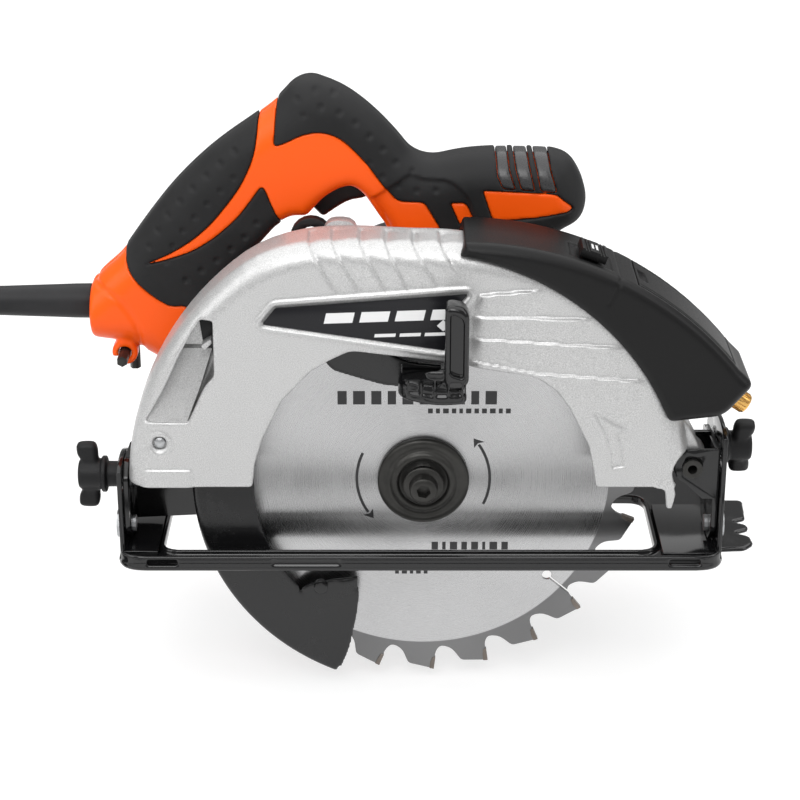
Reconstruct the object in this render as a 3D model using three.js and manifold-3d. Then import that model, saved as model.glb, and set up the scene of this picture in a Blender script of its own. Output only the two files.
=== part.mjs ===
// A corded, hand-held circular saw with a 200 mm blade, in its working stance: the shoe is level,
// the blade hangs through it to full depth and the lower guard is half open.
// Units are millimetres. The origin is in the shoe's sole plane, on the blade's mid plane, below the
// spindle. +X is the cutting direction, -Y is the blade side, +Y is the motor side and +Z is up.
import * as THREE from 'three';
import { mergeVertices } from 'three/addons/utils/BufferGeometryUtils.js';
import Module from 'manifold-3d';

const wasm = await Module();
wasm.setup();

// ---------------------------------------------------------------- driving dimensions
const GAP = 0.3;                       // clearance between pieces that touch
const SPINDLE_Z = 35;                  // spindle height above the sole: cut depth is blade radius less this
const BLADE = { r: 100, t: 1.8, teeth: 24, gullet: 12, bore: 8, slots: 4 };
const LOWER_GUARD = { r: 106, inner: 77, y: 9, wall: 1.6, from: 72, to: 247 };
const GUARD = {
  near: -20, far: 15, wall: 2.6, front: 121, top: 118.7, rear: 134, bottom: 39.3, cutout: 77.5,
};
const SHOE = { rear: -139.6, front: 137.2, near: -25, far: 115, t: 2, lip: 7 };
const OPENING = { rear: -119.5, front: 106.8, near: -12, far: 46 };
const BEVEL_Z = 12;                    // height of the bevel axis, which lies in the blade's plane
const PIVOT = { x: 121.6, z: 45.7 };   // depth pivot, parallel to the spindle
const DEPTH_ARC = { r: 195, band: 7, slot: 3.3, y: 18, t: 2.5, from: -3, to: 28.5, bolt: 1.5 };
const GEAR = { module: 1.5625, wheel: 32, pinion: 8, near: 25, far: 34, addendum: 0.85, dedendum: 1.2 };
const MOTOR = { x: -7.5, z: 65.34, r: 42, wall: 3, near: 48, far: 148, end: 172 };
const HANDLE = { y: 45, half: 17, skin: 2.4 };
const FRONT_KNOB = { x: 139.2, y: 18, z: 43.5, collar: 0, turn: 24 };
const REAR_KNOB = { x: -140.8, y: 10, z: 32.5, collar: 5.4, turn: 0 };
const CORD = { r: 3.75, exitX: -214, y: 45, z: 106.5, floor: -71 };

// ---------------------------------------------------------------- finishes
const finish = (color, roughness, metalness) => ({ color, roughness, metalness });
const CAST = finish(0xc9cbcd, 0.45, 0.55);
const DIPPED = finish(0x0b0b0d, 0.18, 0.3);
const STEEL = finish(0xa9abae, 0.3, 0.9);
const OXIDE = finish(0x1d1d20, 0.35, 0.6);
const ORANGE = finish(0xff6a14, 0.35, 0);
const SOFT = finish(0x262626, 0.75, 0);
const BLACK = finish(0x17171a, 0.4, 0);
const COPPER = finish(0xb4683a, 0.4, 0.8);
const BRASS = finish(0xc98b3c, 0.25, 0.9);

// ---------------------------------------------------------------- solids
const radians = THREE.MathUtils.degToRad;

function polar(radius, degrees, x = 0, z = 0) {
  return [x + radius * Math.cos(radians(degrees)), z + radius * Math.sin(radians(degrees))];
}

function arc(radius, from, to, steps, x = 0, z = 0) {
  return Array.from({ length: steps + 1 }, (_, i) => polar(radius, from + ((to - from) * i) / steps, x, z));
}

// A closed outline whose corners may carry a rounding radius: [a, b, radius].
function outline(points, Kind = THREE.Shape) {
  const path = new Kind();
  const count = points.length;
  points.forEach(([a, b, wanted = 0], i) => {
    const here = new THREE.Vector2(a, b);
    const [pa, pb] = points[(i + count - 1) % count];
    const [na, nb] = points[(i + 1) % count];
    const back = new THREE.Vector2(pa - a, pb - b);
    const ahead = new THREE.Vector2(na - a, nb - b);
    const radius = Math.min(wanted, 0.45 * back.length(), 0.45 * ahead.length());
    const start = here.clone().addScaledVector(back.normalize(), radius);
    const end = here.clone().addScaledVector(ahead.normalize(), radius);
    if (i === 0) path.moveTo(start.x, start.y);
    else path.lineTo(start.x, start.y);
    if (radius > 0) path.quadraticCurveTo(a, b, end.x, end.y);
  });
  path.closePath();
  return path;
}

// An outline with one hole; extrusions need the outer loop to run counter-clockwise.
function ring(outer, inner) {
  const area = THREE.ShapeUtils.area(outer.map(([a, b]) => new THREE.Vector2(a, b)));
  const shape = outline(area > 0 ? outer : [...outer].reverse());
  shape.holes.push(outline(inner, THREE.Path));
  return shape;
}

// One closed, outward-facing body with shared vertices and no slivers.
function closed(geometry) {
  const bare = geometry.index ? geometry.toNonIndexed() : geometry.clone();
  bare.deleteAttribute('normal');
  bare.deleteAttribute('uv');
  const merged = mergeVertices(bare, 1e-3);
  const at = merged.attributes.position;
  const corner = (i) => new THREE.Vector3().fromBufferAttribute(at, i);
  const faces = [];
  let volume = 0;
  for (let i = 0; i < merged.index.count; i += 3) {
    const [a, b, c] = [0, 1, 2].map((k) => merged.index.getX(i + k));
    if (a === b || b === c || c === a) continue;
    faces.push([a, b, c]);
    volume += corner(a).dot(corner(b).cross(corner(c)));
  }
  merged.setIndex(faces.flatMap(([a, b, c]) => (volume < 0 ? [a, c, b] : [a, b, c])));
  return merged;
}

function toManifold(geometry) {
  const body = closed(geometry);
  const mesh = new wasm.Mesh({
    numProp: 3,
    vertProperties: new Float32Array(body.attributes.position.array),
    triVerts: new Uint32Array(body.index.array),
  });
  return new wasm.Manifold(mesh);
}

function fromManifold(manifold) {
  const mesh = manifold.getMesh();
  const geometry = new THREE.BufferGeometry();
  geometry.setAttribute('position', new THREE.BufferAttribute(new Float32Array(mesh.vertProperties), 3));
  geometry.setIndex(Array.from(mesh.triVerts));
  return geometry;
}

const combine = (how) => (first, ...rest) =>
  fromManifold(rest.reduce((body, next) => body[how](toManifold(next)), toManifold(first)));
const join = combine('add');
const cut = combine('subtract');
const meet = combine('intersect');

function place(geometry, xAxis, yAxis, zAxis, shift) {
  geometry.applyMatrix4(new THREE.Matrix4().makeBasis(xAxis, yAxis, zAxis));
  return geometry.translate(...shift);
}

const X = new THREE.Vector3(1, 0, 0);
const Y = new THREE.Vector3(0, 1, 0);
const Z = new THREE.Vector3(0, 0, 1);
const plain = (depth) => ({ depth, bevelEnabled: false, curveSegments: 3 });
const asShape = (shape) => (Array.isArray(shape) ? outline(shape) : shape);

// Extrusions of an (x, z), a (y, z) and an (x, y) outline along the remaining axis.
const alongY = (shape, from, to, options = plain(to - from)) =>
  place(new THREE.ExtrudeGeometry(asShape(shape), options), X, Z, Y.clone().negate(), [0, to, 0]);
const alongX = (shape, from, to) =>
  place(new THREE.ExtrudeGeometry(asShape(shape), plain(to - from)), Y, Z, X, [from, 0, 0]);
const alongZ = (shape, from, to) =>
  place(new THREE.ExtrudeGeometry(asShape(shape), plain(to - from)), X, Y, Z, [0, 0, from]);

// The same as alongY with rounded shoulders: round is [depth, size, segments] and inset shrinks it all.
function pillow(shape, from, to, [depth, size, segments], inset = 0) {
  const options = {
    depth: to - from - 2 * depth,
    bevelEnabled: true,
    bevelThickness: depth,
    bevelSize: size,
    bevelOffset: -size - inset,
    bevelSegments: segments,
    curveSegments: 3,
  };
  return alongY(shape, from, to - depth, options);
}

function box(low, high) {
  const size = low.map((value, i) => high[i] - value);
  return new THREE.BoxGeometry(...size).translate(...low.map((value, i) => value + size[i] / 2));
}

// A round bar along an axis; centre gives the two other coordinates in X, Y, Z order.
function bar(axis, radius, from, to, [a, b] = [0, 0], sides = 12) {
  const geometry = new THREE.CylinderGeometry(radius, radius, to - from, sides);
  geometry.translate(0, (from + to) / 2, 0);
  if (axis === 'y') return geometry.translate(a, 0, b);
  if (axis === 'x') return place(geometry, Y, X, Z.clone().negate(), [0, a, b]);
  return place(geometry, Y.clone().negate(), Z, X.clone().negate(), [a, b, 0]);
}

// A turned piece about a line parallel to Y; the profile is a list of [radius, y].
function turned(profile, [x, z] = [0, 0], sides = 20) {
  const points = profile.map(([radius, y]) => new THREE.Vector2(radius, y));
  return new THREE.LatheGeometry(points, sides).translate(x, 0, z);
}

function sleeve(outer, inner, from, to, centre, sides) {
  return turned([[outer, from], [outer, to], [inner, to], [inner, from], [outer, from]], centre, sides);
}

const SPINDLE = [0, SPINDLE_Z];
const MOTOR_AXIS = [MOTOR.x, MOTOR.z];
const PIVOT_AXIS = [PIVOT.x, PIVOT.z];

// ---------------------------------------------------------------- shoe
function shoe() {
  const { rear, front, near, far, t, lip } = SHOE;
  const edge = [[rear, near, 12], [front, near, 12], [front, far, 12], [rear, far, 12]];
  const inside = edge.map(([x, y]) => [x < 0 ? x + 2 : x - 2, y < 0 ? y + 2 : y - 2, 10]);
  const open = [
    [OPENING.rear, OPENING.near, 8], [OPENING.front, OPENING.near, 8],
    [OPENING.front, OPENING.far, 8], [OPENING.rear, OPENING.far, 8],
  ];
  const rim = open.map(([x, y]) => [x < 0 ? x - 1.6 : x + 1.6, y < 0 ? y - 1.6 : y + 1.6, 9]);
  const tab = [
    [front - 6, -8.5], [149, -8.5, 2], [154, -6], [153.4, 0.5], [152, 3.6], [144, 4.5, 1], [144, 8, 1],
    [152, 8.8], [152.5, 15.5], [144, 16.8, 1], [144, 20.5, 1], [154.5, 21], [156, 46, 3], [front - 6, 46],
  ];
  const plate = join(alongZ(edge, 0, t), alongZ(tab, 0, t));
  const tray = join(plate, alongZ(ring(edge, inside), 0, lip), alongZ(ring(rim, open), 0, 4.5));
  const fences = [[112, 126], [-126, -112]].map(([from, to]) =>
    box([from, near - 1, 2.6], [to, near + 4, 5]));
  const ends = [[rear - 1, rear + 2.6, 33], [front - 3, front + 1, 39]].map(([from, to, side]) =>
    box([from, -18, t], [to, side, lip + 1]));
  return cut(tray, alongZ(open, -1, t + 1), ...fences, ...ends);
}

const onBevel = (radius, degrees) => polar(radius, degrees, 0, BEVEL_Z);

// An upright plate riveted to the shoe, with a foot and an arc slot for the bevel lock bolt.
function quadrant(x, { y, z }, radius, [fromAngle, toAngle], foot) {
  const thickness = 2.1;
  const [side] = onBevel(radius, fromAngle);
  const [near] = onBevel(radius, toAngle);
  const plate = [...arc(radius, fromAngle, toAngle, 9, 0, BEVEL_Z), [near, 2.4], [side, 2.4]];
  const reach = Math.hypot(y, z - BEVEL_Z);
  const start = THREE.MathUtils.radToDeg(Math.atan2(z - BEVEL_Z, y));
  const spare = THREE.MathUtils.radToDeg(4 / reach);
  const [low, high] = [start - spare, start + 45 + spare];
  const slot = [
    ...arc(reach + 3.4, low, high, 8, 0, BEVEL_Z),
    ...arc(reach - 3.4, high, low, 8, 0, BEVEL_Z),
  ];
  const upright = cut(alongX(plate, x, x + thickness), alongX(slot, x - 1, x + thickness + 1),
    bar('x', 4.3, x - 1, x + thickness + 1, [0, BEVEL_Z], 14));
  return join(upright, box([foot[0], near, 2.4], [foot[1], side, 4.4]));
}

function frontQuadrant() {
  return quadrant(134.6, FRONT_KNOB, 52, [46, 108], [110, 135]);
}

function rearQuadrant() {
  return quadrant(-139.2, REAR_KNOB, 35, [32, 114], [-138, -122]);
}

// ---------------------------------------------------------------- bevel frame
// Both brackets are chamfered below the bevel axis so they swing clear of the shoe.
function frontTiltBracket() {
  const plate = [[-12, 14.2, 2], [-3.6, 6], [22, 6, 2], [30, 30, 3], [30, 50, 4], [-12, 55, 1]];
  const ear = [...arc(8.3, 250, 90, 8, PIVOT.x, PIVOT.z), [133, 54], [133, 30], [127, 30]];
  const upright = cut(alongX(plate, 131.8, 134.2), bar('x', 4.3, 131, 135, [0, BEVEL_Z], 12));
  const ears = [[-12, -9.5], [9.5, 12]].map(([from, to]) => alongY(ear, from, to));
  const boltHole = bar('x', 3.3, 130, 136, [FRONT_KNOB.y, FRONT_KNOB.z]);
  return cut(join(upright, ...ears), bar('y', 4, -14, 14, PIVOT_AXIS), boltHole);
}

function rearTiltBracket() {
  const { r, band, slot, y, t, from, to } = DEPTH_ARC;
  const sector = (radius, a, b) => arc(radius, 180 - a, 180 - b, 16, PIVOT.x, PIVOT.z);
  const arcPlate = [...sector(r + band, from, to), ...sector(r - band, to, from)];
  const arcSlot = [...sector(r + slot, 0, to - 1.5), ...sector(r - slot, to - 1.5, 0)];
  const web = [[-136.8, 6, 2], [-96, 8, 6], [-78.5, 34], [-78.5, 62], [-100, 64], [-136.8, 44]];
  const plate = [[-12, 14.2, 2], [-3.6, 6], [y + t, 6], [y + t, 44], [-4, 46, 4], [-12, 40, 2]];
  const upright = alongX(plate, -136.8, -134.5);
  const slide = cut(join(alongY(arcPlate, y, y + t), alongY(web, y, y + t)),
    alongY(arcSlot, y - 1, y + t + 1));
  return cut(join(upright, slide), bar('x', 4.3, -138, -130, [0, BEVEL_Z], 12),
    bar('x', 3.3, -138, -130, [REAR_KNOB.y, REAR_KNOB.z], 12));
}

// Shafts of the bevel hinge: a headed rivet through the quadrant and the tilt bracket.
function bevelRivet(from, to, headAt) {
  const side = Math.sign(headAt);
  const head = side > 0 ? [to, to + 2] : [from - 2, from];
  return join(bar('x', 4, from, to, [0, BEVEL_Z], 12), bar('x', 6.5, head[0], head[1], [0, BEVEL_Z], 14));
}

// A two-eared wing knob on a collar; side is +1 at the front and -1 at the rear.
function wingKnob({ x, y, z, collar, turn }, side) {
  const bore = 3.3;
  const hub = [
    [bore, 0], [6, 0], [6, collar + 0.5], [8.5, collar + 0.5], [8.5, collar + 2], [7.2, collar + 3.5],
    [7.2, collar + 12], [bore, collar + 12], [bore, 0],
  ];
  const body = new THREE.LatheGeometry(hub.map(([r, h]) => new THREE.Vector2(r, h)), 14);
  const ear = [[5, 5], [13.5, 4, 2], [16.3, 6.5, 3], [15.8, 14.2, 3], [9.5, 13.5, 2.5], [7, 11]];
  const wings = [0, Math.PI].map((angle) =>
    new THREE.ExtrudeGeometry(outline(ear), plain(7)).translate(0, collar, -3.5).rotateY(angle));
  const knob = cut(join(body, ...wings), bar('y', bore, -1, collar + 20)).rotateY(radians(turn));
  return place(knob, Z, X.clone().multiplyScalar(side), Y.clone().multiplyScalar(side), [x, y, z]);
}

function knobBolt({ x, y, z }, side, headX) {
  const length = [headX, x + side * 12].sort((a, b) => a - b);
  const head = [headX - side * 2, headX].sort((a, b) => a - b);
  return join(bar('x', 3, length[0], length[1], [y, z], 12), bar('x', 6, head[0], head[1], [y, z], 12));
}

function washer({ y, z }, from, to) {
  const disc = bar('x', 8.5, from, to, [y, z], 14);
  return cut(disc, bar('x', 3.3, from - 1, to + 1, [y, z], 12));
}

function pivotPin() {
  return turned([[2.2, -14.4], [4.6, -14.4], [4.6, -12.4], [3.7, -12.4], [3.7, 14], [2.2, 14], [2.2, -14.4]],
    PIVOT_AXIS, 14);
}

// ---------------------------------------------------------------- upper guard
const smooth = (t) => t * t * (3 - 2 * t);

// The guard's radius about the spindle: a dip at the top between the front and the chip port.
function guardRadius(degrees) {
  const share = (from, to) => smooth(THREE.MathUtils.clamp((degrees - from) / (to - from), 0, 1));
  const { front, top, rear } = GUARD;
  return front + (top - front) * share(56, 84) + (rear - top) * share(90, 127);
}

function guardOutline() {
  const steps = 24;
  const rim = Array.from({ length: steps + 1 }, (_, i) => {
    const degrees = -14 + (206 * i) / steps;
    return polar(guardRadius(degrees), degrees, ...SPINDLE);
  });
  return [...rim, [-40, -20], [40, -20]];
}

function upperGuard() {
  const { near, far, wall, bottom, cutout } = GUARD;
  const shape = outline(guardOutline());
  const shell = cut(
    pillow(shape, near, far, [11, 10, 2]),
    pillow(shape, near + wall, far - wall, [10, 9, 1], wall),
    box([-200, -60, -60], [200, 60, bottom]),
  );
  const mouth = [
    ...arc(cutout, -14, 49, 8, ...SPINDLE), [47, 93.6], [-31, 105.4],
    ...arc(cutout, 115, 194, 10, ...SPINDLE),
  ];
  const chipPort = [
    [-98.3, 119.2], [-92.8, 119.2], [-93.2, 92.8], [-105.1, 71.1, 2], [-124.2, 71.1, 3],
    [-115.6, 86.1], [-106.4, 106.1],
  ];
  const earPockets = [[-30, -9], [9, 30]].map(([from, to]) => bar('y', 9.6, from, to, PIVOT_AXIS, 16));
  const frontReliefs = [
    box([PIVOT.x, -30, 30], [140, 30, PIVOT.z + 9.6]),
    box([110, -9, 30], [140, 9, 60]),
  ];
  const opened = cut(shell, alongY(mouth, near - 5, near + wall + 3), alongY(chipPort, near - 5, near + 14),
    ...earPockets, ...frontReliefs, bar('y', 24.6, 0, 30, SPINDLE, 24));
  const lugFace = [[111, 74], [119.6, 65], [127, 51], [118, 39.5], [111, 44]];
  const lugHalf = 8.8;
  const lug = cut(
    join(bar('y', 8, -lugHalf, lugHalf, PIVOT_AXIS, 16), alongY(lugFace, -lugHalf, lugHalf)),
    bar('y', 4, -20, 20, PIVOT_AXIS),
  );
  const hookFace = [
    [103, 44], [104, 38.6], [109, 38], [110, 28.5], [112.4, 28.5], [114, 36], [111, 44],
  ];
  const hook = alongY(hookFace, near, near + wall);
  return join(opened, lug, hook);
}

function guardDecal() {
  const face = [[-70.9, 118.2], [-65.1, 125.6], [18.8, 132.1], [14.5, 127], [9, 106]];
  return alongY(face, GUARD.near - 0.9, GUARD.near - GAP);
}

// ---------------------------------------------------------------- laser unit
const LASER_TOP = { r: 156.2, x: 16.7, z: -0.9 };
const LASER_FOOT = { r: 127.8, x: -10.2, z: 23.9 };
const LASER_BEAM = { x: 136.1, z: 78.55, dip: 33.2 };
const HATCH = { from: 60.5, to: 39.5, half: 17, t: 3 };
const SWITCH_AT = 68.9;

const onLaserTop = (radius, degrees) => polar(radius, degrees, LASER_TOP.x, LASER_TOP.z);
const alongBeam = (geometry) =>
  geometry.rotateY(radians(LASER_BEAM.dip)).translate(LASER_BEAM.x, 0, LASER_BEAM.z);

function onSwitchSeat(geometry) {
  const [x, z] = onLaserTop(LASER_TOP.r, SWITCH_AT);
  return geometry.rotateY(radians(90 - SWITCH_AT)).translate(x, 0, z);
}

// A strip of the housing's top between two radii below its surface.
function hatchStrip(outerDrop, innerDrop, from, to, half) {
  const { r, x, z } = LASER_TOP;
  const strip = [...arc(r - outerDrop, from, to, 7, x, z), ...arc(r - innerDrop, to, from, 7, x, z)];
  return alongY(strip, -half, half);
}

function laserHousing() {
  const top = arc(LASER_TOP.r, 89.7, 38.2, 12, LASER_TOP.x, LASER_TOP.z);
  const foot = arc(LASER_FOOT.r, 24.9, 78.6, 12, LASER_FOOT.x, LASER_FOOT.z);
  const nose = [[146, 89.4, 7], [133.3, 74.3, 5], [109, 71.4, 5]];
  const body = pillow(outline([...top, ...nose, ...foot]), -24, 22, [4, 3, 1]);
  const saddle = pillow(outline(guardOutline()), GUARD.near - GAP, GUARD.far + GAP, [11, 10, 2], -GAP);
  const hatch = hatchStrip(-2, HATCH.t + GAP, HATCH.from + 0.15, HATCH.to - 0.15, HATCH.half + GAP);
  const bay = hatchStrip(HATCH.t, 14, 58, 46, 12);
  const latch = hatchStrip(-2, 2.5, 62.6, 60, 4);
  const switchSlot = onSwitchSeat(box([-5, -9, -8], [9, -2, 1]));
  const barrel = alongBeam(bar('x', 5.8, -17, 20));
  const earClearance = bar('y', 12, -30, -9, PIVOT_AXIS, 16);
  return cut(body, saddle, hatch, bay, latch, switchSlot, barrel, earClearance);
}

function laserSwitch() {
  const cap = box([-6, -13, 0.3], [6, 2, 4.6]);
  const groove = (x) => box([x - 0.5, -14, 3.9], [x + 0.5, 3, 6]);
  return onSwitchSeat(cut(join(cap, box([-4, -8, -6], [4, -3, 1])), groove(-3), groove(0), groove(3)));
}

function batteryCover() {
  return hatchStrip(0, HATCH.t, HATCH.from - 0.1, HATCH.to + 0.1, HATCH.half);
}

function laserCell() {
  const [x, z] = onLaserTop(LASER_TOP.r - 9.5, 52);
  return bar('y', 4, -10, 10, [x, z]);
}

function laserModule() {
  return alongBeam(cut(bar('x', 5.3, -16.5, 2), bar('x', 2.5, -1, 3)));
}

function focusRing() {
  return alongBeam(cut(bar('x', 4.8, 2.3, 12.5), bar('x', 2.5, 6, 14)));
}

// ---------------------------------------------------------------- gearbox and motor
function gearboxCover() {
  const { far } = GUARD;
  const rib = [[-22, 70], [-38, 134, 2], [-46, 146, 3], [-43, 154, 4], [-31, 154, 5], [-27, 140, 4], [8, 72]];
  const casting = join(
    bar('y', 24, 7, far + 2, SPINDLE, 24),
    bar('y', 33, far + GAP, 19, SPINDLE, 24),
    bar('y', 30, 18, 47.6, SPINDLE, 24),
    bar('y', 15, far + GAP, 47.6, MOTOR_AXIS, 18),
    alongY(rib, far + GAP, 21.6),
  );
  return cut(casting, bar('y', 27.3, 23, 50, SPINDLE, 24), bar('y', 10.5, 22, 50, MOTOR_AXIS, 16),
    bar('y', 13.3, 0, 17, SPINDLE, 18), bar('y', 8, 10, 30, SPINDLE, 14));
}

function motorHousing() {
  const { r, wall, near, far } = MOTOR;
  const wallAt = near + 3.4;
  const shell = turned([
    [0, near], [r - 2, near], [r, near + 2], [r, far], [r - wall, far], [r - wall, wallAt], [0, wallAt],
  ], MOTOR_AXIS, 24);
  const bearingHousing = bar('y', 14, near, near + 10, MOTOR_AXIS, 16);
  const seats = join(shell, bar('y', 14, 40, near + 1, SPINDLE, 16), bearingHousing);
  const bores = [bar('y', 11.3, 38, near, SPINDLE, 16), bar('y', 11.3, near + 1.5, near + 12, MOTOR_AXIS, 16),
    bar('y', 6.5, 38, near + 4, MOTOR_AXIS, 14)];
  const vents = [-60, -40, -20, 0, 160, 180, 200, 220].map((degrees) => {
    const [x, z] = polar(r, degrees, ...MOTOR_AXIS);
    return box([-5, 124, -1.6], [5, 142, 1.6]).rotateY(-radians(degrees)).translate(x, 0, z);
  });
  return cut(seats, ...bores, ...vents);
}

function motorEndCap() {
  const { r, wall, far, end } = MOTOR;
  const from = far + GAP;
  const shell = turned([
    [0, end], [r - 12, end], [r - 3, end - 5], [r, end - 12], [r, from], [r - wall, from],
    [r - wall, end - 12], [r - 14, end - 3], [14, end - 3], [14, end - 14], [11.3, end - 14], [11.3, end - 3],
    [0, end - 3],
  ], MOTOR_AXIS, 24);
  const vents = [30, 75, 120, 165, 210, 255, 300, 345].map((degrees) =>
    box([18, end - 6, -2], [29, end + 2, 2]).rotateY(-radians(degrees)).translate(MOTOR.x, 0, MOTOR.z));
  return cut(shell, ...vents);
}

function stator() {
  const core = sleeve(38.6, 22, 76, 118, MOTOR_AXIS, 24);
  const windows = [45, 135, 225, 315].map((degrees) =>
    bar('y', 6, 70, 124, polar(25, degrees, ...MOTOR_AXIS), 14));
  return cut(core, ...windows);
}

function carbonBrush(side) {
  const [x, z] = MOTOR_AXIS;
  const ends = [x + side * 12.4, x + side * 30].sort((a, b) => a - b);
  return box([ends[0], 128, z - 4], [ends[1], 136, z + 4]);
}

// A spur gear centred on a line parallel to Y, with a tooth centred at the given phase.
function gear(teeth, bore, [x, z], phase) {
  const { module, near, far, addendum, dedendum } = GEAR;
  const pitch = (teeth * module) / 2;
  const outer = pitch + addendum * module;
  const root = pitch - dedendum * module;
  const step = 360 / teeth;
  const points = [];
  for (let i = 0; i < teeth; i++) {
    const middle = phase + i * step;
    points.push(polar(root, middle - step * 0.36, x, z), polar(outer, middle - step * 0.12, x, z));
    points.push(polar(outer, middle + step * 0.12, x, z), polar(root, middle + step * 0.36, x, z));
  }
  const wheel = alongY(points, near, far);
  return bore > 0 ? cut(wheel, bar('y', bore, near - 1, far + 1, [x, z], 16)) : wheel;
}

const MESH_ANGLE = THREE.MathUtils.radToDeg(Math.atan2(MOTOR.z - SPINDLE_Z, MOTOR.x));

function armatureShaft() {
  const pinionHalfStep = 180 / GEAR.pinion;
  const pinion = gear(GEAR.pinion, 0, MOTOR_AXIS, MESH_ANGLE + 180 + pinionHalfStep);
  return join(pinion, turned([[0, 24], [4, 24], [4, 48], [5, 48], [5, 168], [0, 168]], MOTOR_AXIS, 14));
}

function commutator() {
  return sleeve(11.8, 5.3, 124, 141, MOTOR_AXIS, 16);
}

function armatureCore() {
  const core = sleeve(21, 5.3, 74, 120, MOTOR_AXIS, 24);
  const slots = Array.from({ length: 12 }, (_, i) => {
    const turn = -radians(i * 30);
    return box([15, 70, -1], [24, 124, 1]).rotateY(turn).translate(MOTOR.x, 0, MOTOR.z);
  });
  return cut(core, ...slots);
}

function coolingFan() {
  const hub = join(sleeve(10, 5.3, 62, 71, MOTOR_AXIS, 16), sleeve(35, 9, 69, 71, MOTOR_AXIS, 24));
  const blades = Array.from({ length: 9 }, (_, i) =>
    box([9, 61.5, -0.8], [34.5, 70, 0.8]).rotateY(radians(i * 40)).translate(MOTOR.x, 0, MOTOR.z));
  return join(hub, ...blades);
}

// ---------------------------------------------------------------- spindle and blade
function spindle() {
  const profile = [[0, -7.6], [7.7, -7.6], [7.7, 6.2], [10, 6.2], [10, 7.6], [7, 7.6], [7, 47], [0, 47]];
  return cut(turned(profile, SPINDLE, 18), bar('y', 4.3, -9, 14, SPINDLE));
}

function innerFlange() {
  return turned([[8, 1.2], [21, 1.2], [21, 3.5], [14, 5.9], [8, 5.9], [8, 1.2]], SPINDLE);
}

function outerFlange() {
  return turned([
    [8, -1.2], [21, -1.2], [21, -4.2], [19, -5.6], [13, -6.4], [11.5, -4.6], [8, -4.6], [8, -1.2],
  ], SPINDLE);
}

function bladeBolt() {
  const shank = bar('y', 4, -9, 12, SPINDLE, 12);
  const collar = bar('y', 9.4, -9.6, -7.9, SPINDLE, 16);
  const head = bar('y', 6.2, -15.4, -9, SPINDLE, 16);
  const socket = bar('y', 3.1, -17, -11, SPINDLE, 6);
  return cut(join(shank, collar, head), socket);
}

// One tooth: its back, its tip, its raked face and the gullet in front of it.
function toothOutline(tipDegrees) {
  const { r, gullet } = BLADE;
  const at = (radius, degrees) => polar(radius, tipDegrees + degrees, ...SPINDLE);
  return [
    at(r, 0), at(r - gullet * 0.75, 1.2), at(r - gullet, 3.4), at(r - gullet * 0.8, 6.2), at(r - 2.2, 8.6),
  ];
}

function blade() {
  const { t, teeth, bore, slots } = BLADE;
  const firstTip = -12;
  const slotPhase = -40.6;
  const disc = alongY(
    Array.from({ length: teeth }, (_, i) => toothOutline(firstTip + (i * 360) / teeth)).flat(),
    -t / 2, t / 2);
  const cuts = Array.from({ length: slots }, (_, i) => {
    const degrees = slotPhase + (i * 360) / slots;
    const hole = bar('y', 2.4, -3, 3, polar(77, degrees, ...SPINDLE), 8);
    const kerf = box([77, -3, -0.6], [94, 3, 0.6]).rotateY(-radians(degrees)).translate(0, 0, SPINDLE_Z);
    return join(hole, kerf);
  });
  return cut(disc, bar('y', bore, -3, 3, SPINDLE, 24), ...cuts);
}

// ---------------------------------------------------------------- lower guard
function annulus(outer, inner, from, to, yFrom, yTo, steps = 18) {
  const points = [...arc(outer, from, to, steps, ...SPINDLE), ...arc(inner, to, from, steps, ...SPINDLE)];
  return alongY(points, yFrom, yTo);
}

function lowerGuard() {
  const { r, inner, y, wall, from, to } = LOWER_GUARD;
  const near = annulus(r, inner, from, to, -y, wall - y);
  const rim = annulus(r, r - wall, from, to, -y, y);
  const far = annulus(r, 60, from, to, y - wall, y);
  const tail = annulus(inner + 1, 63, 229, to, -y, wall - y, 5);
  const hub = sleeve(34, 24.4, y - wall, y, SPINDLE, 24);
  const webs = annulus(61, 33, 110, 210, y - wall, y, 10);
  const arm = [[-44, 101], [-40, 93], [-16.5, 84], [17, 84], [17, 93], [-10, 96], [-30, 109]];
  return join(near, rim, far, tail, hub, webs, alongY(arm, -y, wall - y));
}

function guardLever() {
  const hull = [[-11, -9.3], [18, -9.3], [18, -24], [19, -33, 4], [4, -35, 6], [-12, -26, 4]];
  const stem = alongZ(hull, 85, 93.5);
  const footFace = [[-12, -23.5, 2], [19, -23.5, 2], [19.5, -33, 4], [4, -35.5, 6], [-11, -29, 4]];
  const foot = alongZ(footFace, 85, 102);
  const post = alongY([[8.6, 93], [19.3, 93], [19.3, 129, 5], [8.6, 133.4, 5]], -37.5, -25.5);
  const recess = alongY([[10.4, 98], [17.5, 98], [17.5, 127, 3], [10.4, 130, 3]], -40, -34.5);
  return cut(join(stem, foot, post), recess);
}

// ---------------------------------------------------------------- handle
const HANDLE_OUTLINE = [
  [-154.2, 96], [-153.4, 113], [-150.5, 118.5], [-139.5, 128.4], [-126.9, 146.1], [-112.9, 163.8],
  [-95, 180.8], [-68, 199.6], [-57.7, 210.6], [-50.5, 212.9], [-34, 206.2], [-12.1, 185.5], [-6, 177, 5],
  [5.2, 174.4, 4], [17.9, 177.7], [60, 178.4], [71.8, 168], [74.2, 155], [69, 144.5],
  [52, 138.5, 4], [36, 118],
];
const FINGER_HOLE = [
  [-104, 105, 4], [-67.2, 146.6, 2], [-60, 150.6, 3], [-53, 150, 1], [-45, 159.5], [-38, 163.6], [-32.6, 165],
  [-27.5, 161.5], [-24.4, 156.7, 1], [-15.5, 143, 2], [-12, 119, 3],
];
const KEY_AT = [-138.8, 83.6];
const LOCK_OFF_AT = [-47, 174];
const MOTOR_SADDLE = 42.6;
const HOLE_FLOOR = 57;

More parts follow.
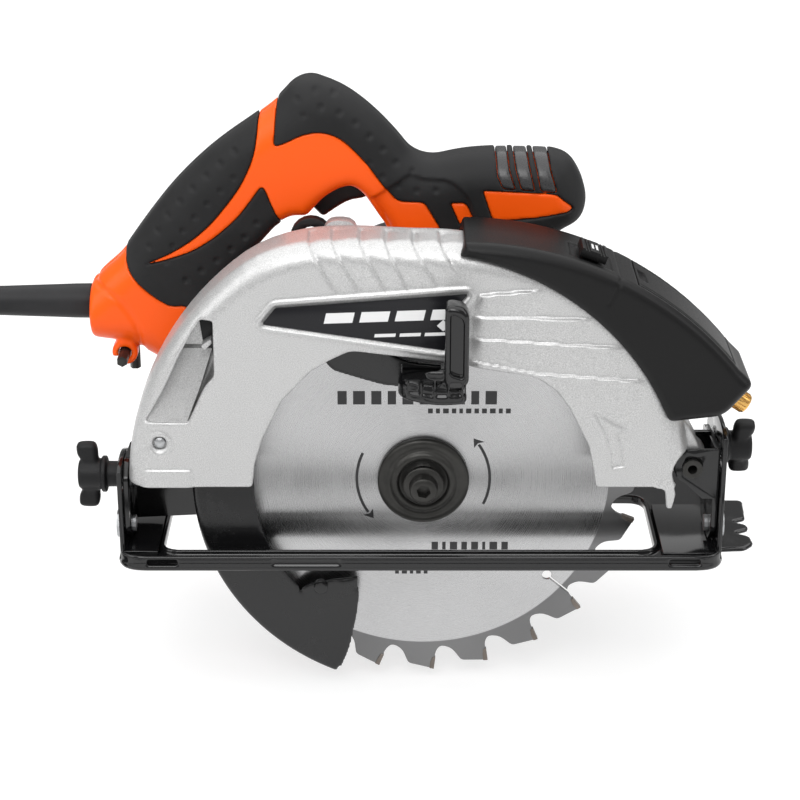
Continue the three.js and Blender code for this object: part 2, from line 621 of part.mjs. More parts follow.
// The closed loop of the handle: rounded outside, with a finger hole whose rims are eased.
function handleBody(inset) {
  const { y, half } = HANDLE;
  const outer = [...HANDLE_OUTLINE, [24, 80], [-50, 60], [-118, 76], [-135.5, 87.2], [-149, 90]];
  const loop = pillow(outline(outer), y - half + inset, y + half - inset, [9 - inset, 8 - inset, 2], inset);
  const rim = 3.5;
  const flare = {
    depth: 2 * half - 2 * inset - 2 * rim + 0.02,
    bevelEnabled: true,
    bevelThickness: rim,
    bevelSize: -rim,
    bevelOffset: rim + inset,
    bevelSegments: 2,
    curveSegments: 4,
  };
  const hole = [...FINGER_HOLE, ...arc(HOLE_FLOOR, 99, 140, 6, ...MOTOR_AXIS), [-84, 97, 5]];
  const saddle = bar('y', MOTOR_SADDLE + inset, 0, 90, MOTOR_AXIS, 36);
  return cut(loop, saddle, alongY(outline(hole), y - half, y + half - inset - rim + 0.01, flare));
}

// A straight-walled cutter of an (x, z) region, grown by a margin.
function region(points, margin = 0) {
  const options = {
    depth: 79, bevelEnabled: true, bevelThickness: 0.5, bevelSize: 0, bevelOffset: margin, bevelSegments: 1,
  };
  return alongY(outline(points), 5, 84.5, options);
}

const REAR_GRIP = [
  [-139, 129], [-170, 150], [-100, 230], [-74.8, 230], [-74.8, 179], [-74.4, 161], [-66.6, 145], [-64, 138],
  [-97, 101], [-110, 104], [-116.3, 102.6],
];
const TOP_GRIP = [
  [-66.8, 230], [-66.8, 179], [-46.9, 186.4], [-35.2, 181.7], [-23.9, 170], [-12.1, 153.3], [-0.2, 153.3],
  [8, 138], [100, 132], [100, 230],
];

function gripSkin(points) {
  return cut(meet(handleBody(0), region(points)), handleBody(HANDLE.skin));
}

function handleHalf(side) {
  const { y, skin } = HANDLE;
  const shell = cut(handleBody(0), region(REAR_GRIP, GAP), region(TOP_GRIP, GAP));
  const moulding = join(shell, handleBody(skin + GAP), keyClip());
  const pocketFace = [[-57, 166], [-50, 200], [-30, 197], [-19, 168], [-22, 152], [-52, 146]];
  const pocket = alongY(pocketFace, y - 7.2, y + 7.2);
  const seam = y + (side * GAP) / 2;
  const otherSide = side < 0 ? box([-200, seam, 0], [100, 100, 260]) : box([-200, 0, 0], [100, seam, 260]);
  const buttonHole = bar('y', 4.9, y, y + 20, LOCK_OFF_AT, 14);
  return cut(moulding, otherSide, pocket, buttonHole, bar('x', 4, -170, -130, [y, CORD.z]));
}

// The hex key is held below the cord end of the handle by a snap clip on each half.
function keyClip() {
  const [x] = KEY_AT;
  const mouth = box([x - 11, 30, 76], [x, 44, 82]);
  const loop = cut(bar('y', 6, 33, 42, KEY_AT), bar('y', 3.3, 30, 44, KEY_AT), mouth);
  return join(loop, box([x - 3, 33, 86.6], [x + 4, 42, 92]));
}

function hexKey() {
  const [x, z] = KEY_AT;
  return join(bar('y', 2.7, 22, 72, KEY_AT, 6), bar('z', 2.6, z - 21.6, z + 0.9, [x, 69.6], 6));
}

function trigger() {
  const { y } = HANDLE;
  const face = [
    [-51.5, 152.4, 1], [-46.1, 146.6, 1], [-36, 153, 3], [-24.9, 156.5, 1], [-23, 168, 2], [-44, 168, 3],
  ];
  return alongY(face, y - 6.2, y + 6.2);
}

function lockOffButton() {
  const { y, half } = HANDLE;
  const profile = [[0, y + 9], [4.6, y + 9], [4.6, y + half + 2], [3.6, y + half + 3.2], [0, y + half + 3.2]];
  return turned(profile, LOCK_OFF_AT, 14);
}

function switchModule() {
  const { y } = HANDLE;
  return box([-48, y - 6.5, 178], [-31, y + 6.5, 194]);
}

// ---------------------------------------------------------------- cord
const RELIEF = { from: -154.2, root: 8, tip: 5.2 };
const COIL = { x: -294.5, y: -20, mid: 41, half: 11.3, height: 30.4, lead: 27.6 };

function strainRelief() {
  const { from, root, tip } = RELIEF;
  const length = from - CORD.exitX;
  const profile = [[0, 0], [root, 0], [root, 8]];
  for (let i = 0; i < 4; i++) {
    const at = 10 + ((length - 12) * i) / 4;
    const radius = root + ((tip - root) * at) / length;
    profile.push([radius, at], [radius, at + 8], [radius - 0.8, at + 8.4], [radius - 0.8, at + 11.4]);
  }
  profile.push([tip, length - 2], [tip, length], [0, length]);
  const body = new THREE.LatheGeometry(profile.map(([r, h]) => new THREE.Vector2(r, h)), 12);
  return place(body, Z, X.clone().negate(), Y.clone().negate(), [from, CORD.y, CORD.z]);
}

const CORD_ON_FLOOR = CORD.floor + CORD.r;
const CORD_ON_COIL = CORD.floor + COIL.height - CORD.r;
const COIL_OUTER_TURN = COIL.mid + COIL.half - CORD.r;
const CORD_DROP_X = COIL.x + COIL_OUTER_TURN;

const CORD_ROUTE = [
  [CORD.exitX - GAP, 45, 106.5], [-217.3, 45, 106.36], [-220.5, 45, 105.9], [-226.4, 45, 104.1],
  [-231.9, 45, 101.2], [-236.7, 45, 97.2], [-243.5, 45, 87], [CORD_DROP_X, 45, 74.8], [CORD_DROP_X, 45, 58],
  [CORD_DROP_X, 45, 40], [CORD_DROP_X, 45, 20], [CORD_DROP_X, 45, -8.6], [CORD_DROP_X, 42.3, -22.4],
  [CORD_DROP_X, 34.5, -34.1], [CORD_DROP_X, 22.8, -41.9], [CORD_DROP_X, COIL.y + COIL.lead, CORD_ON_COIL],
];

function cable(points, steps) {
  const curve = new THREE.CatmullRomCurve3(points.map((point) => new THREE.Vector3(...point)));
  const section = new THREE.Shape(arc(CORD.r, 0, 315, 7).map(([a, b]) => new THREE.Vector2(a, b)));
  return new THREE.ExtrudeGeometry(section, { steps, extrudePath: curve, bevelEnabled: false });
}

function cordCoil() {
  const { x, y, mid, half, height } = COIL;
  const [inner, outer, low, high] = [mid - half, mid + half, CORD.floor, CORD.floor + height];
  const profile = [[inner, low], [outer, low], [outer, high], [inner, high], [inner, low]];
  const body = new THREE.LatheGeometry(profile.map(([r, h]) => new THREE.Vector2(r, h)), 32);
  return place(body, X, Z, Y.clone().negate(), [x, y, 0]);
}

const TAIL_X = COIL.x - COIL_OUTER_TURN;
const PLUG = { y: COIL.y + 50, z: CORD.floor + 9, length: 38, half: 18, thick: 9 };

function cordTail() {
  const from = COIL.y + COIL.lead;
  return cable([[TAIL_X, from, CORD_ON_FLOOR], [TAIL_X, from + 8, CORD_ON_FLOOR + 1.2],
    [TAIL_X, PLUG.y - 8, PLUG.z - 0.7], [TAIL_X, PLUG.y - 2 * GAP, PLUG.z]], 6);
}

function plug() {
  const { y, z, length, half, thick } = PLUG;
  const section = [[-half, -thick, 8], [half, -thick, 8], [half, thick, 8], [-half, thick, 8]]
    .map(([a, b, radius]) => [TAIL_X + a, z + b, radius]);
  const neck = bar('y', 6, y, y + 13, [TAIL_X, z], 14);
  const pins = [-9.5, 9.5].map((shift) =>
    bar('y', 2.4, y + length - 1, y + length + 19, [TAIL_X + shift, z]));
  return join(neck, alongY(section, y + 12, y + length), ...pins);
}

// ---------------------------------------------------------------- depth and spindle locks
const LOCK_BOLT = polar(DEPTH_ARC.r, 180 - DEPTH_ARC.bolt, ...PIVOT_AXIS);

function depthLockBolt() {
  return bar('y', 3, GUARD.far + GAP, 27.6, LOCK_BOLT);
}

function depthLockLever() {
  const [x, z] = LOCK_BOLT;
  const hub = sleeve(8, 3.3, DEPTH_ARC.y + DEPTH_ARC.t + GAP, 26.5, LOCK_BOLT, 14);
  const arm = alongY([[x - 6, z - 4], [x - 6, z + 5], [x - 26, z + 9, 3], [x - 27, z + 1, 3]], 21.4, 26.5);
  return join(hub, arm);
}

function spindleLockLever() {
  const [x, z] = [-50.6, 143.6];
  return alongY([...arc(9.5, 200, 20, 10, x, z), ...arc(5.2, 20, 200, 8, x, z)], 22, 27.4);
}

// ---------------------------------------------------------------- assembly
const saw = new THREE.Group();

function add(name, geometry, material) {
  const mesh = new THREE.Mesh(closed(geometry), new THREE.MeshStandardMaterial(material));
  mesh.name = name;
  saw.add(mesh);
}

add('shoe', shoe(), DIPPED);
add('front_quadrant', frontQuadrant(), DIPPED);
add('rear_quadrant', rearQuadrant(), DIPPED);
add('front_bevel_rivet', bevelRivet(130.2, 137, 1), STEEL);
add('rear_bevel_rivet', bevelRivet(-139.5, -133, -1), STEEL);

add('front_tilt_bracket', frontTiltBracket(), DIPPED);
add('rear_tilt_bracket', rearTiltBracket(), DIPPED);
add('front_knob_bolt', knobBolt(FRONT_KNOB, 1, 131.5), STEEL);
add('rear_knob_bolt', knobBolt(REAR_KNOB, -1, -134.2), STEEL);
add('depth_pivot_pin', pivotPin(), OXIDE);
add('front_knob_washer', washer(FRONT_KNOB, 137, 138.9), STEEL);
add('front_wing_knob', wingKnob(FRONT_KNOB, 1), SOFT);
add('rear_wing_knob', wingKnob(REAR_KNOB, -1), SOFT);

add('upper_guard', upperGuard(), CAST);
add('guard_decal', guardDecal(), BLACK);
add('laser_housing', laserHousing(), BLACK);
add('laser_switch', laserSwitch(), BLACK);
add('laser_battery_cover', batteryCover(), BLACK);
add('laser_cell', laserCell(), STEEL);
add('laser_module', laserModule(), BRASS);
add('laser_focus_ring', focusRing(), BRASS);

add('gearbox_cover', gearboxCover(), CAST);
add('motor_housing', motorHousing(), ORANGE);
add('motor_end_cap', motorEndCap(), BLACK);
add('stator', stator(), STEEL);
add('carbon_brush_front', carbonBrush(1), OXIDE);
add('carbon_brush_rear', carbonBrush(-1), OXIDE);
add('spindle_bearing_front', sleeve(13, 7.3, 9, 16.6, SPINDLE, 16), STEEL);
add('spindle_bearing_rear', sleeve(11, 7.3, 40, 47.4, SPINDLE, 16), STEEL);
add('motor_bearing_front', sleeve(11, 5.3, MOTOR.near + 3, MOTOR.near + 10, MOTOR_AXIS, 16), STEEL);
add('motor_bearing_rear', sleeve(11, 5.3, MOTOR.end - 13, MOTOR.end - 5, MOTOR_AXIS, 16), STEEL);
add('guard_spring', sleeve(27.4, 25, 9.4, 12, SPINDLE, 18), STEEL);

add('spindle', spindle(), STEEL);
add('inner_flange', innerFlange(), STEEL);
add('blade', blade(), STEEL);
add('outer_flange', outerFlange(), OXIDE);
add('blade_bolt', bladeBolt(), OXIDE);
add('drive_gear', gear(GEAR.wheel, 7.3, SPINDLE, MESH_ANGLE), STEEL);

add('armature_shaft', armatureShaft(), STEEL);
add('armature_core', armatureCore(), STEEL);
add('commutator', commutator(), COPPER);
add('cooling_fan', coolingFan(), BLACK);

add('lower_guard', lowerGuard(), BLACK);
add('guard_lever', guardLever(), BLACK);

add('handle_near_half', handleHalf(-1), ORANGE);
add('handle_far_half', handleHalf(1), ORANGE);
add('rear_grip', gripSkin(REAR_GRIP), SOFT);
add('top_grip', gripSkin(TOP_GRIP), SOFT);
add('trigger', trigger(), BLACK);
add('lock_off_button', lockOffButton(), BLACK);
add('switch_module', switchModule(), BLACK);
add('hex_key', hexKey(), OXIDE);
add('depth_lock_bolt', depthLockBolt(), STEEL);
add('depth_lock_lever', depthLockLever(), BLACK);
add('spindle_lock_lever', spindleLockLever(), BLACK);

add('strain_relief', strainRelief(), SOFT);
add('power_cord', cable(CORD_ROUTE, 36), SOFT);
add('cord_coil', cordCoil(), SOFT);
add('cord_tail', cordTail(), SOFT);
add('plug', plug(), BLACK);

export default saw;
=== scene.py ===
# A corded circular saw with a 200 mm blade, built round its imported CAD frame.
# Helpers work in millimetres in the part's own frame; objects are made in metres.
import math

import bmesh
import bpy
import numpy as np
from mathutils import Matrix, Vector


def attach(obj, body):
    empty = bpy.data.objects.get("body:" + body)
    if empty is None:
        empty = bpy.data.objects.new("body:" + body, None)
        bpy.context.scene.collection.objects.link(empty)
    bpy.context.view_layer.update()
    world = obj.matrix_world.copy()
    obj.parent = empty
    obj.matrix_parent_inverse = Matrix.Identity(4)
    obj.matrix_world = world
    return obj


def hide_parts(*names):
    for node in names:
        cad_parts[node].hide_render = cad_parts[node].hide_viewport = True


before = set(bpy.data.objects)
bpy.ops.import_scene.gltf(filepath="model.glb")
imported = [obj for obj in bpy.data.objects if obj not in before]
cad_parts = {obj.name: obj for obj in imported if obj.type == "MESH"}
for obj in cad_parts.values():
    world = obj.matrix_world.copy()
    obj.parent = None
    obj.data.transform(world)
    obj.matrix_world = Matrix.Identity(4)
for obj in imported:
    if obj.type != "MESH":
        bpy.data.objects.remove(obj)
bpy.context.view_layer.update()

MM = 0.001
COARSE = 1.0

# Axes across the saw, as (x, z): the blade, the motor and the depth hinge.
SPINDLE_Z = 35.0
SPINDLE = (0.0, SPINDLE_Z)
MOTOR = (-7.5, 65.34)
PIVOT = (121.6, 45.7)
FLOOR_Z = -71.0


# ---------------------------------------------------------------- camera and light
CAMERA_AT = (-0.0107, -0.908, 0.4555)
CAMERA_DIP = 22.8
LENS, SENSOR = 97.8, 36.0


def look_at(obj, target):
    """Aims a light down its own -Z axis."""
    direction = Vector(target) - obj.location
    obj.rotation_euler = direction.to_track_quat("-Z", "Y").to_euler()


def add_camera():
    data = bpy.data.cameras.new("camera")
    data.lens = LENS
    data.sensor_width = SENSOR
    data.clip_start = 0.05
    camera = bpy.data.objects.new("camera", data)
    bpy.context.collection.objects.link(camera)
    camera.location = CAMERA_AT
    camera.rotation_euler = (math.radians(90.0 - CAMERA_DIP), 0.0, 0.0)
    bpy.context.scene.camera = camera


def add_light(name, place, target, size, power):
    data = bpy.data.lights.new(name, "AREA")
    data.shape = "RECTANGLE"
    data.size, data.size_y = size
    data.energy = power
    light = bpy.data.objects.new(name, data)
    bpy.context.collection.objects.link(light)
    light.location = place
    look_at(light, target)


def add_world(strength):
    world = bpy.data.worlds.new("studio")
    world.use_nodes = True
    background = world.node_tree.nodes["Background"]
    background.inputs["Color"].default_value = (1.0, 1.0, 1.0, 1.0)
    background.inputs["Strength"].default_value = strength
    bpy.context.scene.world = world


add_camera()
bpy.context.scene.view_settings.view_transform = "Standard"
add_world(0.33)
add_light("overhead", (0.0, 0.75, 1.75), (0.0, 0.75, 0.0), (3.8, 3.8), 68.0)
add_light("left_box", (-1.2, -0.6, 0.75), (0.0, 0.0, 0.08), (0.8, 0.9), 4.5)
add_light("front_box", (-0.2, -1.35, 1.35), (0.0, 0.0, 0.08), (1.2, 0.8), 14.0)
add_light("right_box", (1.3, -0.3, 0.8), (0.0, 0.0, 0.08), (0.6, 0.9), 3.5)


# ---------------------------------------------------------------- outlines
def outline(points, steps=5):
    """A loop whose corners (a, b, radius) are rounded by quadratic curves."""
    loop = []
    for i, (a, b, *rest) in enumerate(points):
        here = Vector((a, b))
        back = Vector(points[i - 1][:2]) - here
        ahead = Vector(points[(i + 1) % len(points)][:2]) - here
        radius = min(rest[0] if rest else 0.0, 0.5 * back.length, 0.5 * ahead.length)
        if radius == 0.0:
            loop.append((a, b))
            continue
        start = here + back.normalized() * radius
        end = here + ahead.normalized() * radius
        for t in np.linspace(0.0, 1.0, steps + 1):
            loop.append(tuple(start * (1 - t) ** 2 + here * (2 * t * (1 - t)) + end * t * t))
    return loop


def rectangle(low, high, radius):
    """Corners for outline(), all rounded alike."""
    return [(*low, radius), (high[0], low[1], radius), (*high, radius), (low[0], high[1], radius)]


def spline(points, steps):
    """A Catmull-Rom curve through points of any dimension."""
    points = [np.array(point, float) for point in points]
    last = len(points) - 1
    result = []
    for i in range(last):
        a, b, c, d = (points[min(max(i + k, 0), last)] for k in (-1, 0, 1, 2))
        for t in np.arange(steps) / steps:
            result.append(0.5 * (2 * b + (c - a) * t + (2 * a - 5 * b + 4 * c - d) * t ** 2
                                 + (3 * b - a - 3 * c + d) * t ** 3))
    return [tuple(point) for point in (*result, points[-1])]


def polar(radius, degrees, x=0.0, z=0.0):
    """A point at a distance and an angle from (x, z), anticlockwise from the X axis."""
    turn = math.radians(degrees)
    return x + radius * math.cos(turn), z + radius * math.sin(turn)


def arc(radius, start, end, steps, x=0.0, z=0.0):
    return [polar(radius, degrees, x, z) for degrees in np.linspace(start, end, steps + 1)]


# ---------------------------------------------------------------- distance fields
UNIT = np.eye(3, dtype=int)


class Grid:
    """Sample points of a box, as three arrays that broadcast together."""

    def __init__(self, low, high, cell):
        self.cell = cell * COARSE
        self.low = np.array(low, float) - 2.5 * self.cell
        counts = np.ceil((np.array(high, float) - self.low) / self.cell).astype(int) + 3
        axes = [self.low[i] + self.cell * np.arange(counts[i]) for i in range(3)]
        self.x, self.y, self.z = np.meshgrid(*axes, indexing="ij", sparse=True)


def polygon(loop, x, z):
    """Signed distance to a closed loop in the plane, negative inside."""
    shape = np.broadcast(x, z).shape
    nearest = np.full(shape, 1e12)
    inside = np.zeros(shape, bool)
    for (ax, az), (bx, bz) in zip(loop, list(loop[1:]) + [loop[0]]):
        ex, ez = bx - ax, bz - az
        px, pz = x - ax, z - az
        t = np.clip((px * ex + pz * ez) / (ex * ex + ez * ez + 1e-12), 0.0, 1.0)
        nearest = np.minimum(nearest, (px - t * ex) ** 2 + (pz - t * ez) ** 2)
        if az != bz:
            inside ^= ((az > z) != (bz > z)) & (px < pz * ex / ez)
    return np.where(inside, -1.0, 1.0) * np.sqrt(nearest)


def area(points, x, z, steps=5):
    """Signed distance to an outline with rounded corners."""
    return polygon(outline(points, steps), x, z)


def track(points, x, z):
    """Distance to an open line through the points, in the plane."""
    nearest = np.full(np.broadcast(x, z).shape, 1e12)
    for (ax, az), (bx, bz) in zip(points, points[1:]):
        ex, ez = bx - ax, bz - az
        t = np.clip(((x - ax) * ex + (z - az) * ez) / (ex * ex + ez * ez), 0.0, 1.0)
        nearest = np.minimum(nearest, (x - ax - t * ex) ** 2 + (z - az - t * ez) ** 2)
    return np.sqrt(nearest)


def circle(radius, x, z, centre):
    """Signed distance to a circle in the plane."""
    return np.hypot(x - centre[0], z - centre[1]) - radius


def slab(flat, along, low, high, radius=0.0):
    """A flat shape given thickness between low and high, with rounded shoulders."""
    a = flat + radius
    b = np.abs(along - (low + high) / 2) - (high - low) / 2 + radius
    return np.minimum(np.maximum(a, b), 0.0) + np.hypot(np.maximum(a, 0.0), np.maximum(b, 0.0)) - radius


def block(grid, low, high, radius=0.0):
    """Signed distance to a box with rounded edges."""
    half = [(high[i] - low[i]) / 2 - radius for i in range(3)]
    mid = [(high[i] + low[i]) / 2 for i in range(3)]
    a, b, c = (np.abs(axis - mid[i]) - half[i] for i, axis in enumerate((grid.x, grid.y, grid.z)))
    outside = np.sqrt(np.maximum(a, 0) ** 2 + np.maximum(b, 0) ** 2 + np.maximum(c, 0) ** 2)
    return outside + np.minimum(np.maximum(np.maximum(a, b), c), 0.0) - radius


def both(a, b, blend=0.0):
    """What is in both fields; the edge between them is eased over the blend length."""
    if blend == 0.0:
        return np.maximum(a, b)
    h = np.clip(0.5 + 0.5 * (a - b) / blend, 0.0, 1.0)
    return a * h + b * (1 - h) + blend * h * (1 - h)


def either(a, b, blend=0.0):
    return -both(-a, -b, blend)


def less(a, b, blend=0.0):
    return both(a, -b, blend)


def step(value, width):
    """0 below zero, 1 above the width, and smooth between them."""
    t = np.clip(value / width, 0.0, 1.0)
    return t * t * (3 - 2 * t)


def hump(distance, radius):
    """1 at no distance, falling smoothly to 0 at the radius."""
    return (1 - np.clip(distance / radius, -1.0, 1.0) ** 2) ** 2


def cell_points(field, cells):
    """The mean of the zero crossings on the edges of each cell."""
    total = np.zeros((len(cells), 3))
    hits = np.zeros(len(cells))
    for axis in range(3):
        u, v = UNIT[(axis + 1) % 3], UNIT[(axis + 2) % 3]
        for shift in (0 * u, u, v, u + v):
            start = cells + shift
            a = field[tuple(start.T)]
            b = field[tuple((start + UNIT[axis]).T)]
            crossed = (a < 0) != (b < 0)
            spot = start[crossed].astype(float)
            spot[:, axis] += a[crossed] / (a[crossed] - b[crossed])
            total[crossed] += spot
            hits[crossed] += 1
    return total / hits[:, None]


def cell_quads(inside, index):
    """A quad round each crossed edge of the grid, through the four cells that share it."""
    shape = np.array(index.shape)
    quads = []
    for axis in range(3):
        sides = [(axis + 1) % 3, (axis + 2) % 3]
        u, v = UNIT[sides]
        lead = [slice(None)] * 3
        tail = [slice(None)] * 3
        lead[axis], tail[axis] = slice(None, -1), slice(1, None)
        edges = np.argwhere(inside[tuple(lead)] != inside[tuple(tail)])
        edges = edges[((edges[:, sides] > 0) & (edges[:, sides] < shape[sides])).all(axis=1)]
        corners = [index[tuple((edges - shift).T)] for shift in (0 * u, u, u + v, v)]
        quad = np.stack(corners, axis=1)
        outward = inside[tuple(edges.T)]
        quads.append(np.where(outward[:, None], quad, quad[:, ::-1]))
    return np.concatenate(quads)


def skin(name, field, grid):
    """The zero surface of a field as a quad mesh with one vertex in each crossed cell."""
    field = np.ascontiguousarray(field)
    inside = field < 0
    shape = np.array(field.shape) - 1
    count = np.zeros(shape, np.int8)
    for i, j, k in np.ndindex(2, 2, 2):
        count += inside[i:shape[0] + i, j:shape[1] + j, k:shape[2] + k]
    mixed = (count > 0) & (count < 8)
    cells = np.argwhere(mixed)
    index = np.full(mixed.shape, -1, np.int64)
    index[mixed] = np.arange(len(cells))
    verts = (cell_points(field, cells) * grid.cell + grid.low) * MM
    faces = cell_quads(inside, index)
    mesh = bpy.data.meshes.new(name)
    mesh.vertices.add(len(verts))
    mesh.vertices.foreach_set("co", verts.astype(np.float32).ravel())
    mesh.loops.add(faces.size)
    mesh.loops.foreach_set("vertex_index", faces.astype(np.int32).ravel())
    mesh.polygons.add(len(faces))
    mesh.polygons.foreach_set("loop_start", np.arange(0, faces.size, 4, dtype=np.int32))
    mesh.update(calc_edges=True)
    mesh.shade_smooth()
    return link(name, mesh)


# ---------------------------------------------------------------- meshes
def link(name, mesh):
    obj = bpy.data.objects.new(name, mesh)
    bpy.context.collection.objects.link(obj)
    return obj


def solid(name, verts, faces):
    """A closed mesh from points in millimetres, its faces turned outwards."""
    mesh = bpy.data.meshes.new(name)
    body = bmesh.new()
    points = [body.verts.new(Vector(point) * MM) for point in verts]
    for face in faces:
        body.faces.new([points[i] for i in face])
    bmesh.ops.remove_doubles(body, verts=body.verts, dist=1e-7)
    bmesh.ops.recalc_face_normals(body, faces=body.faces)
    body.to_mesh(mesh)
    body.free()
    return link(name, mesh)


AXES = {
    "x": lambda a, b, c: (c, a, b),
    "y": lambda a, b, c: (a, c, b),
    "z": lambda a, b, c: (a, b, c),
}


def prism(name, loop, low, high, axis="y"):
    """A loop extruded along an axis. The loop holds the other two coordinates in X, Y, Z order."""
    put = AXES[axis]
    count = len(loop)
    verts = [put(a, b, low) for a, b in loop] + [put(a, b, high) for a, b in loop]
    sides = [(i, (i + 1) % count, (i + 1) % count + count, i + count) for i in range(count)]
    return solid(name, verts, [tuple(range(count)), tuple(range(count, 2 * count)), *sides])


def lathe(name, profile, centre=(0.0, 0.0), axis="y", sides=48):
    """A closed profile of (radius, along) turned about an axis through the centre."""
    put = AXES[axis]
    count = len(profile)
    verts = []
    for k in range(sides):
        c, s = math.cos(math.tau * k / sides), math.sin(math.tau * k / sides)
        verts += [put(centre[0] + r * c, centre[1] + r * s, h) for r, h in profile]
    faces = []
    for k in range(sides):
        a, b = k * count, (k + 1) % sides * count
        for i in range(count):
            j = (i + 1) % count
            ring = [a + i, a + j, b + j, b + i]
            if profile[i][0] == 0 and profile[j][0] == 0:
                continue
            if profile[i][0] == 0:
                ring = [a + i, a + j, b + j]
            elif profile[j][0] == 0:
                ring = [a + i, a + j, b + i]
            faces.append(ring)
    return solid(name, verts, faces)


def bar(name, radius, low, high, centre=(0.0, 0.0), axis="y", sides=32):
    """A round or, with few sides, a polygonal bar."""
    loop = arc(radius, 0.0, 360.0 - 360.0 / sides, sides - 1, *centre)
    return prism(name, loop, low, high, axis)


def box(name, low, high):
    loop = [(low[0], low[2]), (high[0], low[2]), (high[0], high[2]), (low[0], high[2])]
    return prism(name, loop, low[1], high[1])


def cross_screw(profile, centre, low, high, degrees):
    """A turned head with two crossed slots between the heights low and high."""
    x, z = centre
    head = lathe("screw", profile, centre, sides=28)
    slots = [turn(box("slot", (x - 2.0, low, z - 0.35), (x + 2.0, high, z + 0.35)), a, centre)
             for a in (degrees, degrees + 90)]
    return cut(head, *slots)


def turn(obj, degrees, centre=(0.0, 0.0), axis="Y"):
    """Turns a mesh about a line along Y (or another axis) through the centre."""
    pivots = {"X": (0.0, centre[0], centre[1]), "Y": (centre[0], 0.0, centre[1]), "Z": (*centre, 0.0)}
    pivot = Vector(pivots[axis]) * MM
    spin = Matrix.Rotation(math.radians(degrees), 4, axis)
    obj.data.transform(Matrix.Translation(pivot) @ spin @ Matrix.Translation(-pivot))
    return obj


def move(obj, shift):
    obj.data.transform(Matrix.Translation(Vector(shift) * MM))
    return obj


def settle(obj):
    """Applies the object's modifiers to its mesh."""
    done = bpy.data.meshes.new_from_object(obj.evaluated_get(bpy.context.evaluated_depsgraph_get()))
    obj.modifiers.clear()
    obj.data = done


def boolean(obj, tools, operation):
    for tool in tools:
        modifier = obj.modifiers.new("boolean", "BOOLEAN")
        modifier.operation = operation
        modifier.solver = "EXACT"
        modifier.object = tool
    settle(obj)
    for tool in tools:
        bpy.data.objects.remove(tool, do_unlink=True)
    return obj


def cut(obj, *tools):
    return boolean(obj, tools, "DIFFERENCE")


def add(obj, *tools):
    return boolean(obj, tools, "UNION")


def merge(name, parts):
    """Several meshes as one object, without changing their surfaces."""
    body = bmesh.new()
    for part in parts:
        body.from_mesh(part.data)
        bpy.data.objects.remove(part, do_unlink=True)
    mesh = bpy.data.meshes.new(name)
    body.to_mesh(mesh)
    body.free()
    return link(name, mesh)


def soften(obj, width, segments=2, angle=32.0):
    """Rounds the sharp edges and shades the rest smooth."""
    modifier = obj.modifiers.new("bevel", "BEVEL")
    modifier.width = width * MM
    modifier.segments = segments
    modifier.limit_method = "ANGLE"
    modifier.angle_limit = math.radians(angle)
    modifier.use_clamp_overlap = True
    settle(obj)
    return smooth(obj, angle)


def smooth(obj, angle=32.0):
    obj.data.shade_smooth()
    obj.data.set_sharp_from_angle(angle=math.radians(angle))
    return obj


def fit(obj, body, slot, material, *nodes):
    """Gives a piece its finish and its body, and says which CAD nodes it stands for."""
    obj.data.materials.clear()
    obj.data.materials.append(material)
    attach(obj, body)
    if nodes:
        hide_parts(*nodes)


# ---------------------------------------------------------------- finishes
FLOOR_GLOW = 0.67


class Paint:
    """A principled material, with the nodes that give its colour, roughness and relief."""

    def __init__(self, name, color, roughness, metallic=0.0, specular=0.5):
        self.material = bpy.data.materials.new(name)
        self.material.use_nodes = True
        self.material.diffuse_color = (*color, 1.0)
        self.tree = self.material.node_tree
        self.shader = self.tree.nodes["Principled BSDF"]
        self.set("Base Color", (*color, 1.0))
        self.set("Roughness", roughness)
        self.set("Metallic", metallic)
        self.set("Specular IOR Level", specular)
        self.place = self.tree.nodes.new("ShaderNodeTexCoord").outputs["Object"]

    def set(self, socket, value):
        self.shader.inputs[socket].default_value = value

    def node(self, kind, inputs=(), **settings):
        node = self.tree.nodes.new(kind)
        for key, value in settings.items():
            setattr(node, key, value)
        for socket, value in dict(inputs).items():
            if isinstance(value, bpy.types.NodeSocket):
                self.tree.links.new(value, node.inputs[socket])
            else:
                node.inputs[socket].default_value = value
        return node

    def noise(self, scale, detail=3.0, roughness=0.55):
        inputs = {"Vector": self.place, "Scale": scale, "Detail": detail, "Roughness": roughness}
        return self.node("ShaderNodeTexNoise", inputs).outputs["Fac"]

    def cells(self, scale):
        inputs = {"Vector": self.place, "Scale": scale}
        return self.node("ShaderNodeTexVoronoi", inputs).outputs["Distance"]

    def math(self, operation, a, b=0.0):
        return self.node("ShaderNodeMath", {0: a, 1: b}, operation=operation).outputs[0]

    def ramp(self, value, low, high, first, last):
        inputs = {"Value": value, "From Min": low, "From Max": high, "To Min": first, "To Max": last}
        return self.node("ShaderNodeMapRange", inputs).outputs["Result"]

    def mix(self, factor, a, b):
        node = self.node("ShaderNodeMix", {0: factor}, data_type="RGBA")
        for socket, value in ((6, a), (7, b)):
            if isinstance(value, bpy.types.NodeSocket):
                self.tree.links.new(value, node.inputs[socket])
            else:
                node.inputs[socket].default_value = (*value, 1.0)
        return node.outputs[2]

    def feed(self, socket, value):
        self.tree.links.new(value, self.shader.inputs[socket])

    def bump(self, height, distance, strength):
        """Relief of a depth in millimetres."""
        inputs = {"Height": height, "Distance": distance * MM, "Strength": strength}
        self.feed("Normal", self.node("ShaderNodeBump", inputs).outputs["Normal"])

    def radius(self):
        """Distance from the object's own Y axis, and the direction away from it."""
        parts = self.node("ShaderNodeSeparateXYZ", {0: self.place}).outputs
        square = self.math("ADD", self.math("MULTIPLY", parts[0], parts[0]),
                           self.math("MULTIPLY", parts[2], parts[2]))
        outward = self.node("ShaderNodeCombineXYZ", {0: parts[0], 1: 0.0, 2: parts[2]}).outputs[0]
        return self.math("SQRT", square), outward


